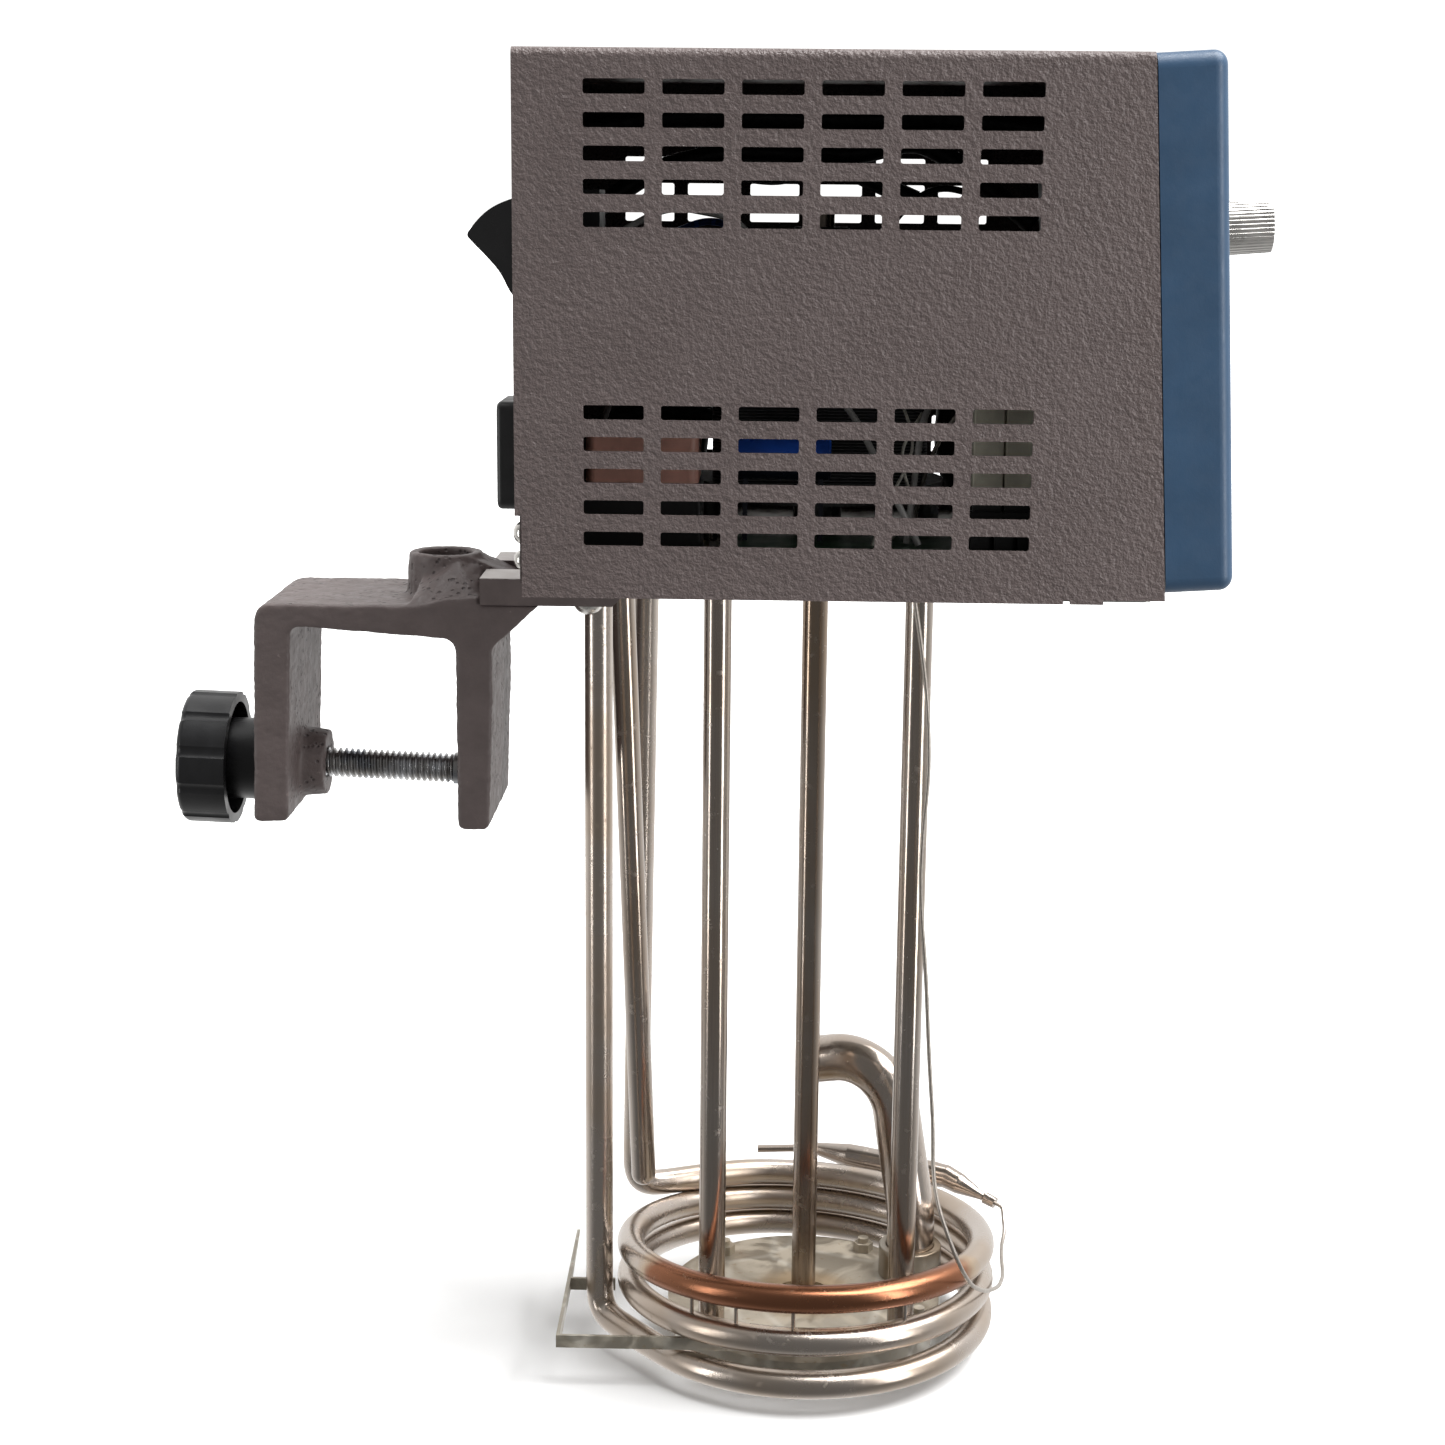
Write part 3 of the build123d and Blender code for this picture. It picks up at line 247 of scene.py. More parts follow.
def case_paint(base):
    """Two-part textured paint: fine orange peel over faint larger waves, with a few worn specks."""
    f = Finish("textured_case_paint", base, roughness=0.5, Specular_IOR_Level=0.42)
    grain = f.noise(1500, 2)
    patches = f.noise(60, 4)
    specks = f.ramp(f.noise(900, 1), 0.72, 0.78)
    tone = f.mix(f.ramp(patches, 0.3, 0.7), shade(base, 0.95), shade(base, 1.06))
    tone = f.mix(f.ramp(grain, 0.35, 0.7), tone, shade(base, 1.12))
    tone = f.mix(f.sums(specks, 0.35, "MULTIPLY"), tone, shade(base, 1.7))
    f.bump(f.noise(700, 2), 0.0009, 0.9).bump(grain, 0.00014, 0.7)
    return f.paint(tone, f.ramp(patches, 0.2, 0.8, 0.40, 0.52))


def bezel_paint(base):
    """Satin blue paint with hairline scratches and a light spray texture."""
    f = Finish("satin_blue_paint", base, roughness=0.42)
    hairs = f.ramp(f.noise(260, 3, f.place((1, 1, 9)), 1.2), 0.66, 0.70)
    wear = f.ramp(f.noise(90, 4), 0.66, 0.74)
    tone = f.mix(f.ramp(f.noise(40, 3), 0.3, 0.7), shade(base, 0.92), shade(base, 1.1))
    tone = f.mix(f.sums(hairs, wear, "MULTIPLY"), tone, shade(base, 2.2))
    f.bump(f.noise(1100, 2), 0.00008, 0.4)
    return f.paint(tone, f.ramp(f.noise(300, 3), 0.2, 0.8, 0.36, 0.5))


def cast_paint(base):
    """Painted sand casting: lumpy skin, clustered pits and small paint chips."""
    f = Finish("painted_casting", base, roughness=0.5, Specular_IOR_Level=0.45)
    clusters = f.ramp(f.noise(55, 3), 0.42, 0.56)
    inner = f.ramp(f.sums(f.axis("Y"), 0.0, "ABSOLUTE"), 0.0284, 0.0276)
    pits = f.sums(f.sums(f.ramp(f.cells(430), 0.34, 0.14), clusters, "MULTIPLY"), inner, "MULTIPLY")
    tone = f.mix(f.ramp(f.noise(120, 4), 0.3, 0.7), shade(base, 0.93), shade(base, 1.08))
    tone = f.mix(f.sums(pits, 0.75, "MULTIPLY"), tone, shade(base, 0.28))
    chips = f.ramp(f.noise(240, 4), 0.70, 0.74)
    tone = f.mix(f.sums(chips, 0.6, "MULTIPLY"), tone, shade(base, 1.9))
    f.bump(f.noise(260, 4), 0.0007, 0.5).bump(f.noise(1300, 2), 0.0001, 0.5)
    f.bump(f.sums(pits, -1.0, "MULTIPLY"), 0.0005, 0.8)
    return f.paint(tone, f.ramp(f.noise(180, 3), 0.2, 0.8, 0.42, 0.58))


def printed_panel(base):
    """Matt printed sheet: fine even grain, faint rubbing and a few fine scratches."""
    f = Finish("printed_panel", base, roughness=0.45)
    tone = f.mix(f.ramp(f.noise(900, 2), 0.3, 0.7), shade(base, 0.96), shade(base, 1.04))
    scratch = f.ramp(f.noise(160, 3, f.place((1, 9, 1)), 1.0), 0.70, 0.73)
    tone = f.mix(f.sums(scratch, 0.3, "MULTIPLY"), tone, shade(base, 1.4))
    f.bump(f.noise(1500, 2), 0.00003, 0.5)
    return f.paint(tone, f.ramp(f.noise(60, 3), 0.3, 0.7, 0.40, 0.50))


def paint_with_lit_top(base, top):
    """Painted bar with a painted highlight: at this height its upper face is pale and half metallic, with a wavy
    border.
    """
    f = Finish("paint_with_painted_highlight", base, roughness=0.45)
    level = f.sums(f.axis("Z"), f.ramp(f.noise(300, 4), 0.3, 0.7, -0.00012, 0.00012))
    # Painted highlight: the band within a few tenths of a millimetre of the top is made pale grey and half
    # metallic, as if the top face were lit from above.
    lit_top = f.ramp(level, top - 0.0003, top - 0.0001)
    tone = f.mix(f.ramp(f.noise(130, 4), 0.3, 0.7), shade(base, 0.9), shade(base, 1.1))
    tone = f.mix(lit_top, tone, (0.50, 0.46, 0.44))
    f.bump(f.noise(900, 3, f.place((0.2, 1, 1))), 0.0001, 0.4)
    return f.paint(tone, f.ramp(f.noise(200, 3), 0.3, 0.7, 0.4, 0.52), f.sums(lit_top, 0.5, "MULTIPLY"))


def shelved(name, upper, lower, height, roughness=0.45):
    """A pale piece above a height and a dark frame below it."""
    f = Finish(name, upper, roughness=roughness)
    tone = f.mix(f.ramp(f.noise(140, 3), 0.3, 0.7), shade(upper, 0.9), shade(upper, 1.08))
    edge = f.sums(f.axis("Z"), f.sums(f.noise(90, 2), 0.0008, "MULTIPLY"))
    tone = f.mix(f.ramp(edge, height + 0.0004, height), tone, lower)
    f.bump(f.noise(1200, 2), 0.00006, 0.5)
    return f.paint(tone, f.ramp(f.noise(80, 3), 0.3, 0.7, roughness - 0.08, roughness + 0.1))


def tube_steel(name, base, stretch=(1, 1, 0.03), source="Object", warm=0.5):
    """Drawn stainless tube: fine lengthwise lines, water stains and brownish heat haze."""
    f = Finish(name, base, metallic=1.0, roughness=0.24)
    lines = f.noise(1800, 2, f.place(stretch, source))
    haze = f.noise(28, 4, f.place((1, 1, 0.45)))
    spots = f.ramp(f.noise(210, 5), 0.60, 0.72)
    brown = (base[0] * 0.80, base[1] * 0.66, base[2] * 0.52)
    tone = f.mix(f.ramp(haze, 0.36, 0.68, 0.0, warm), base, brown)
    tone = f.mix(f.ramp(lines, 0.3, 0.75, 0.0, 0.35), tone, shade(base, 0.66))
    tone = f.mix(f.sums(spots, 0.35, "MULTIPLY"), tone, shade(base, 1.25))
    f.bump(lines, 0.00002, 0.3).bump(f.noise(90, 3), 0.0002, 0.1)
    rough = f.sums(f.ramp(lines, 0.2, 0.8, 0.15, 0.26), f.ramp(spots, 0, 1, 0.0, 0.15))
    return f.paint(tone, rough)


def heater_steel(base, heat):
    """The heater's steel. U runs along the tube in metres. The top turn's front arc ran dry and hot: the tint
    comes in over a few millimetres of height and fades towards both sides of the arc."""
    f = Finish("heater_steel", base, metallic=1.0, roughness=0.25)
    front = f.ramp(f.axis("Y"), -0.018, -0.052)
    hot = f.sums(front, f.ramp(f.axis("Z"), -0.1742, -0.1722), "MULTIPLY")
    lines = f.noise(1500, 2, f.place((0.02, 8, 1), "UV"))
    haze = f.noise(26, 4)
    spots = f.ramp(f.noise(260, 5), 0.60, 0.70)
    brown = (base[0] * 0.82, base[1] * 0.70, base[2] * 0.56)
    tone = f.mix(f.ramp(haze, 0.35, 0.7, 0.0, 0.6), base, brown)
    edge = f.sums(f.sums(hot, f.noise(60, 3)), 0.5, "SUBTRACT")
    straw = f.ramp(edge, 0.12, 0.38)
    tone = f.mix(f.sums(straw, 0.6, "MULTIPLY"), tone, (base[0] * 0.95, base[1] * 0.78, base[2] * 0.55))
    tone = f.mix(f.ramp(edge, 0.32, 0.72), tone, heat)
    scale = f.ramp(f.noise(420, 5), 0.63, 0.72)
    tone = f.mix(f.sums(scale, 0.25, "MULTIPLY"), tone, (0.50, 0.42, 0.32))
    f.bump(lines, 0.00002, 0.3).bump(f.noise(120, 3), 0.0002, 0.12).bump(scale, 0.00004, 0.3)
    rough = f.sums(f.ramp(haze, 0.2, 0.8, 0.22, 0.34), f.ramp(scale, 0, 1, 0.0, 0.15))
    return f.paint(tone, f.sums(rough, f.ramp(spots, 0, 1, 0, 0.12)))


def scaled_steel(name, base, centre, stain=0.022):
    """Steel under a chalky lime film, with flow marks and a rusty ring round the middle."""
    f = Finish(name, base, metallic=0.5, roughness=0.42)
    reach = f.add("ShaderNodeVectorMath", {"operation": "DISTANCE"}, i0=f.coordinates.outputs["Object"],
                  i1=tuple(centre)).outputs["Value"]
    flow = f.ramp(f.noise(38, 5, None, 2.4), 0.42, 0.62)
    veins = f.ramp(f.cells(34, f.place(), "DISTANCE_TO_EDGE"), 0.0, 0.07, 1.0, 0.0)
    tone = f.mix(flow, base, shade(base, 1.25))
    tone = f.mix(f.sums(veins, 0.4, "MULTIPLY"), tone, (0.62, 0.59, 0.52))
    wobble = f.sums(reach, f.sums(f.noise(120, 3), 0.008, "MULTIPLY"))
    ring = f.ramp(wobble, stain + 0.006, stain - 0.006)
    tone = f.mix(f.sums(ring, 0.8, "MULTIPLY"), tone, (0.33, 0.22, 0.11))
    tone = f.mix(f.sums(f.ramp(f.noise(300, 5), 0.6, 0.7), 0.5, "MULTIPLY"), tone, (0.30, 0.22, 0.14))
    f.bump(f.noise(500, 4), 0.00012, 0.5)
    return f.paint(tone, f.ramp(flow, 0, 1, 0.35, 0.6), f.ramp(flow, 0, 1, 0.6, 0.15))


def dark_zinc(name, base=(0.58, 0.59, 0.61)):
    """Dark zinc plating with a faint rainbow and bright crests."""
    f = Finish(name, base, metallic=1.0, roughness=0.3)
    drift = f.noise(70, 3)
    tone = f.mix(f.ramp(drift, 0.35, 0.5, 0.0, 0.5), base, (0.17, 0.145, 0.11))
    tone = f.mix(f.ramp(drift, 0.52, 0.66, 0.0, 0.5), tone, (0.10, 0.135, 0.19))
    f.bump(f.noise(1600, 2), 0.00004, 0.4)
    return f.paint(tone, f.ramp(f.noise(500, 3), 0.3, 0.7, 0.24, 0.4))


def moulded(name, base, roughness=0.5, grain=0.00005, **sockets):
    """Moulded plastic: fine spark grain, faint shine where it is handled."""
    f = Finish(name, base, roughness=roughness, **sockets)
    tone = f.mix(f.ramp(f.noise(150, 4), 0.35, 0.7), shade(base, 0.85), shade(base, 1.2))
    f.bump(f.noise(1800, 2), grain, 0.6)
    return f.paint(tone, f.ramp(f.noise(80, 3), 0.3, 0.7, roughness - 0.06, roughness + 0.08))


def taped(name, base):
    """Wrapped tape or sleeve: turns show as faint steps along the piece, by a small bump and a painted highlight
    on each turn's crest.
    """
    f = Finish(name, base, roughness=0.42)
    tape_width = 0.006
    turns = f.sums(f.sums(f.axis("X", "UV"), 2 * pi / tape_width, "MULTIPLY"), 0.0, "SINE")
    # Painted highlight: the crest of each turn is made lighter than the tape.
    tone = f.mix(f.ramp(turns, 0.5, 0.9), base, shade(base, 1.5))
    f.bump(turns, 0.0002, 0.4)
    return f.paint(tone, f.ramp(f.noise(300, 2), 0.3, 0.7, 0.36, 0.5))


def bare_metal(name, base, roughness=0.3, stretch=(1, 1, 1), scale=900, depth=0.00005):
    """Bare or plated metal with fine working marks."""
    f = Finish(name, base, metallic=1.0, roughness=roughness)
    marks = f.noise(scale, 3, f.place(stretch))
    tone = f.mix(f.ramp(marks, 0.3, 0.7), shade(base, 0.85), shade(base, 1.1))
    f.bump(marks, depth, 0.5)
    return f.paint(tone, f.ramp(f.noise(200, 3), 0.3, 0.7, roughness - 0.06, roughness + 0.1))


def layered(name, first, second, step, roughness=0.5, metallic=0.0, direction="Z"):
    """Stacked sheets or wound wire: thin lines at equal steps along one axis."""
    f = Finish(name, first, metallic=metallic, roughness=roughness)
    turns = f.sums(f.axis(direction), 2 * pi / step, "MULTIPLY")
    lines = f.sums(turns, 0.0, "SINE")
    tone = f.mix(f.ramp(lines, -0.6, 0.4), second, first)
    tone = f.mix(f.ramp(f.noise(160, 3), 0.4, 0.7, 0.0, 0.5), tone, shade(first, 0.7))
    f.bump(lines, step * 0.12, 0.6)
    return f.paint(tone, f.ramp(f.noise(90, 3), 0.3, 0.7, roughness - 0.08, roughness + 0.1))


def dress(finish, *nodes):
    """Gives a finish to CAD nodes: only their material slots change."""
    for name in nodes:
        mesh = frame["nodes"][name].data
        if not mesh.materials:
            mesh.materials.append(finish)
        for i in range(len(mesh.materials)):
            mesh.materials[i] = finish


# ---------------------------------------------------------------- surfaces

def surface(name, points, closed_round=True, uv_scale=None, caps=True):
    """A mesh from a grid of points, rows along the piece and columns round it.
    Column j joins column j+1, and the last joins the first when the surface is closed round. Each end row may
    be closed by one face. Faces point outwards when columns turn by the right hand about the rows' direction."""
    rows, columns = points.shape[:2]
    index = np.arange(rows * columns).reshape(rows, columns)
    following = np.roll(index, -1, axis=1) if closed_round else index[:, 1:]
    here = index if closed_round else index[:, :-1]
    quads = np.stack([here[:-1], following[:-1], following[1:], here[1:]], axis=-1).reshape(-1, 4)
    faces = quads.tolist()
    if caps and closed_round:
        faces += [index[0, ::-1].tolist(), index[-1].tolist()]
    mesh = bpy.data.meshes.new(name)
    mesh.from_pydata(points.reshape(-1, 3), [], faces)
    mesh.polygons.foreach_set("use_smooth", np.ones(len(mesh.polygons), bool))
    if uv_scale is not None:
        layer = mesh.uv_layers.new(name="along")
        along = np.repeat(uv_scale, columns)
        around = np.tile(np.arange(columns) / columns, rows)
        loops = np.zeros(len(mesh.loops), int)
        mesh.loops.foreach_get("vertex_index", loops)
        layer.data.foreach_set("uv", np.stack([along[loops], around[loops]], axis=-1).ravel())
    mesh.update()
    piece = bpy.data.objects.new(name, mesh)
    bpy.context.scene.collection.objects.link(piece)
    return piece


def unit(vectors):
    """Each vector divided by its own length."""
    return vectors / np.linalg.norm(vectors, axis=-1, keepdims=True)


def swept(path, reference, radius, columns=32):
    """A round tube: point(s, a) = path(s) + radius(s) * (cos a * N + sin a * B), where N is the reference
    direction made square to the path and B = T x N."""
    path = np.asarray(path, float)
    tangent = unit(np.gradient(path, axis=0))
    reference = np.broadcast_to(np.asarray(reference, float), path.shape)
    normal = unit(reference - (reference * tangent).sum(-1, keepdims=True) * tangent)
    binormal = np.cross(tangent, normal)
    angle = np.linspace(0, 2 * pi, columns, endpoint=False)
    radius = np.broadcast_to(radius, len(path))[:, None, None]
    ring = np.cos(angle)[None, :, None] * normal[:, None] + np.sin(angle)[None, :, None] * binormal[:, None]
    return path[:, None] + radius * ring


def waves(points, pace, seed):
    """Uneven height between -1 and 1: the mean of twelve sine waves in set directions."""
    chance = np.random.default_rng(seed)
    directions = unit(chance.normal(size=(12, 3))) * pace * chance.uniform(0.6, 1.7, (12, 1))
    return np.sin(points @ (directions * 2 * pi).T + chance.uniform(0, 2 * pi, 12)).sum(-1) / 4.5


def outside(mesh):
    """Turns every face outwards."""
    work = bmesh.new()
    work.from_mesh(mesh)
    bmesh.ops.recalc_face_normals(work, faces=work.faces)
    work.to_mesh(mesh)
    work.free()


def arc_length(path):
    """Distance along a polyline: the running sum of its steps' lengths."""
    return np.concatenate([[0], np.cumsum(np.linalg.norm(np.diff(path, axis=0), axis=1))])


def resampled(path, step):
    """The same polyline with points at equal distances along it."""
    reach = arc_length(path)
    stations = np.linspace(0, reach[-1], int(reach[-1] / step) + 1)
    return np.stack([np.interp(stations, reach, path[:, i]) for i in range(3)], axis=-1)


def eased(path, width):
    """Each point becomes the mean of its neighbours within a window, which turns corners into smooth bends.
    The ends are held by repeating the first and last steps."""
    half = int(width) // 2
    start = path[0] + (path[0] - path[1]) * np.arange(half, 0, -1)[:, None]
    end = path[-1] + (path[-1] - path[-2]) * np.arange(1, half + 1)[:, None]
    long = np.concatenate([start, path, end])
    total = np.cumsum(np.concatenate([np.zeros((1, 3)), long]), axis=0)
    window = 2 * half + 1
    return (total[window:] - total[:-window]) / window


# ---------------------------------------------------------------- operators

class ThermostatPiece:
    """Shared by the operators: they work on the loaded frame and need nothing selected."""
    bl_options = {"REGISTER"}


class THERMOSTAT_OT_stage(ThermostatPiece, bpy.types.Operator):
    """Camera, pale floor, backdrop light and one soft light from above"""
    bl_idname = "thermostat.stage"
    bl_label = "Stage"

    def execute(self, context):
        sizes = context.scene.thermostat_stage
        self.camera(context, sizes)
        self.floor(sizes)
        self.light(context, sizes)
        return {"FINISHED"}

    def camera(self, context, sizes):
        """Looks along +Y, turned left by the yaw, down by the pitch and then about its own axis by the roll."""
        pitch, yaw, roll = (radians(a) for a in (CAMERA_PITCH, CAMERA_YAW, CAMERA_ROLL))
        look = Vector((-sin(yaw) * cos(pitch), cos(yaw) * cos(pitch), -sin(pitch)))
        flat_right = Vector((cos(yaw), sin(yaw), 0))
        flat_down = look.cross(flat_right)
        right = cos(roll) * flat_right - sin(roll) * flat_down
        up = -(sin(roll) * flat_right + cos(roll) * flat_down)
        data = bpy.data.cameras.new("camera")
        data.lens = sizes.lens
        data.sensor_width = 36.0
        data.clip_start = 0.05
        data.clip_end = 200.0
        camera = bpy.data.objects.new("camera", data)
        turn = Matrix((right, up, -look)).transposed().to_4x4()
        camera.matrix_world = Matrix.Translation(CAMERA_PLACE) @ turn
        context.scene.collection.objects.link(camera)
        context.scene.camera = camera

    def floor(self, sizes):
        """A square just under the lowest point. It sends no light back onto the steel or the paint."""
        half = sizes.floor_size / 2
        clearance = 0.4 * MM
        low = CAD_BOX[0][2] - clearance
        corners = np.array([[[-half, -half, low], [-half, half, low]], [[half, -half, low], [half, half, low]]])
        floor = surface("floor", corners, closed_round=False)
        floor.data.flip_normals()
        f = Finish("pale_floor", (0.86, 0.86, 0.86), roughness=0.8, Specular_IOR_Level=0.1)
        tone = f.mix(f.ramp(f.noise(3, 3), 0.3, 0.7), (0.85, 0.85, 0.85), (0.87, 0.87, 0.87))
        floor.data.materials.append(f.paint(tone))
        floor.visible_glossy = False
        floor.visible_diffuse = False

    def light(self, context, sizes):
        """One wide sun from above and a tall narrow box at each side, which draws the lines on the tubes."""
        sun = bpy.data.lights.new("top_light", "SUN")
        sun.energy = sizes.sun_power
        sun.angle = radians(50)
        lamp = bpy.data.objects.new("top_light", sun)
        lamp.rotation_euler = Vector(TOP_LIGHT_FROM).to_track_quat("Z", "Y").to_euler()
        context.scene.collection.objects.link(lamp)
        for name, place, turn, size, power in (
                ("right_box", (0.85, -0.55, 0.05), (-0.80, 0.55, -0.05), (0.16, 0.9), 5.0),
                ("left_box", (-0.9, -0.60, 0.0), (0.9, 0.60, 0.0), (0.14, 0.9), 3.6)):
            data = bpy.data.lights.new(name, "AREA")
            data.shape = "RECTANGLE"
            data.size, data.size_y = size
            data.energy = power
            box = bpy.data.objects.new(name, data)
            box.location = place
            box.rotation_euler = Vector(turn).to_track_quat("-Z", "Y").to_euler()
            context.scene.collection.objects.link(box)
        self.world(context, sizes.backdrop)
        context.scene.view_settings.view_transform = "Standard"
        context.scene.view_settings.look = "None"

    def world(self, context, brightness):
        """White to the camera; for other rays the brightness rises smoothly from front to back along Y."""
        world = bpy.data.worlds.new("studio")
        world.use_nodes = True
        tree = world.node_tree
        background = tree.nodes["Background"]
        where = tree.nodes.new("ShaderNodeTexCoord")
        parts = tree.nodes.new("ShaderNodeSeparateXYZ")
        tree.links.new(where.outputs["Generated"], parts.inputs[0])
        depth = tree.nodes.new("ShaderNodeMapRange")
        depth.interpolation_type = "SMOOTHSTEP"
        for i, value in ((1, -0.75), (2, 0.75), (3, 0.20), (4, brightness)):
            depth.inputs[i].default_value = value
        tree.links.new(parts.outputs["Y"], depth.inputs[0])
        rays = tree.nodes.new("ShaderNodeLightPath")
        seen = tree.nodes.new("ShaderNodeMix")
        tree.links.new(rays.outputs["Is Camera Ray"], seen.inputs[0])
        tree.links.new(depth.outputs[0], seen.inputs[2])
        seen.inputs[3].default_value = brightness
        tree.links.new(seen.outputs[0], background.inputs["Strength"])
        background.inputs["Color"].default_value = (1, 0.995, 0.985, 1)
        context.scene.world = world


class THERMOSTAT_OT_housing(ThermostatPiece, bpy.types.Operator):
    """Paint of the slotted cover, rear panel, front frame and printed panel"""
    bl_idname = "thermostat.housing"
    bl_label = "Housing"

    def execute(self, context):
        paint = context.scene.thermostat_paint
        dress(case_paint(tuple(paint.case)), "cover", "rear_panel")
        dress(bezel_paint(tuple(paint.bezel)), "front_bezel")
        dress(printed_panel(tuple(paint.panel)), "front_panel")
        dress(bare_metal("sheet_steel", (0.45, 0.44, 0.42), 0.4, (0.05, 1, 1)), "base_plate", "front_chassis")
        dress(moulded("dark_window", (0.03, 0.008, 0.008), 0.12, 0.00001, Coat_Weight=0.6), "display_window")
        dress(moulded("red_lens", (0.35, 0.02, 0.015), 0.18, 0.00002), "indicator_lamps")
        self.dial_marks()
        return {"FINISHED"}

    def dial_marks(self):
        """Flat printed bars round the knob: bar i stands at angle a_i = -135 + 270 i / 40 degrees from the top,
        every fifth one longer. Each is a thin box just above the panel's face."""
        axis = np.array(KNOB_JOINT["axis"])
        right = np.array((0.0, 1.0, 0.0))
        up = np.cross(axis, right)
        panel = frame["nodes"]["front_panel"].data
        points = np.zeros(len(panel.vertices) * 3)
        panel.vertices.foreach_get("co", points)
        level = (points.reshape(-1, 3) @ axis).max() + 0.02 * MM
        centre = np.array(KNOB_JOINT["pos_m"])
        centre = centre + (level - centre @ axis) * axis
        count = np.arange(MARK_COUNT)
        angle = np.radians(-135 + 270 * count / (MARK_COUNT - 1))
        outward = np.cos(angle)[:, None] * up + np.sin(angle)[:, None] * right
        across = np.cross(axis, outward)
        start = np.full(MARK_COUNT, MARK_INNER * MM)
        reach = np.where(count % 5 == 0, MARK_LONG, MARK_SHORT) * MM
        half = np.where(count % 5 == 0, 0.30, 0.18) * MM
        corners = [centre + r[:, None] * outward + side * half[:, None] * across + top * axis
                   for top in (0.0, 0.06 * MM)
                   for r, side in ((start, -1), (reach, -1), (reach, 1), (start, 1))]
        corners = np.stack(corners, axis=1)
        sides = np.array(((0, 1, 2, 3), (7, 6, 5, 4), (0, 4, 5, 1), (1, 5, 6, 2), (2, 6, 7, 3), (3, 7, 4, 0)))
        faces = (8 * count[:, None, None] + sides[None]).reshape(-1, 4)
        mesh = bpy.data.meshes.new("dial_marks")
        mesh.from_pydata(corners.reshape(-1, 3), [], faces.tolist())
        outside(mesh)
        marks = bpy.data.objects.new("dial_marks", mesh)
        bpy.context.scene.collection.objects.link(marks)
        marks.data.materials.append(moulded("dial_ink", (0.02, 0.02, 0.022), 0.5, 0.00001))
        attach(marks, ROOT)


class THERMOSTAT_OT_rear(ThermostatPiece, bpy.types.Operator):
    """Rocker switch, mains inlet, pins and dome screws at the rear"""
    bl_idname = "thermostat.rear"
    bl_label = "Switch and inlet"

    def execute(self, context):
        dress(moulded("black_moulding", (0.016, 0.016, 0.017), 0.45), "rocker_frame", "mains_inlet")
        dress(moulded("gloss_rocker", (0.012, 0.012, 0.013), 0.28, 0.00003, Coat_Weight=0.3), "rocker")
        dress(bare_metal("bright_plating", (0.62, 0.60, 0.57), 0.2), "rear_screws", "bar_screws", "tie_screws",
              "column_nuts", "motor_bearings", "heater_terminals")
        dress(bare_metal("nickelled_brass", (0.62, 0.52, 0.33), 0.28), "inlet_pins", "gland_nuts",
              "board_standoffs")
        return {"FINISHED"}


class THERMOSTAT_OT_setting_knob(ThermostatPiece, bpy.types.Operator):
    """Ridged aluminium knob"""
    bl_idname = "thermostat.setting_knob"
    bl_label = "Setting knob"

    def execute(self, context):
        dress(bare_metal("ridged_aluminium", (0.62, 0.605, 0.58), 0.32, (0.02, 0.3, 0.3), 200, 0.000004),
              "control_knob")
        dress(dark_zinc("plated_shaft"), "thermostat_shaft")
        return {"FINISHED"}


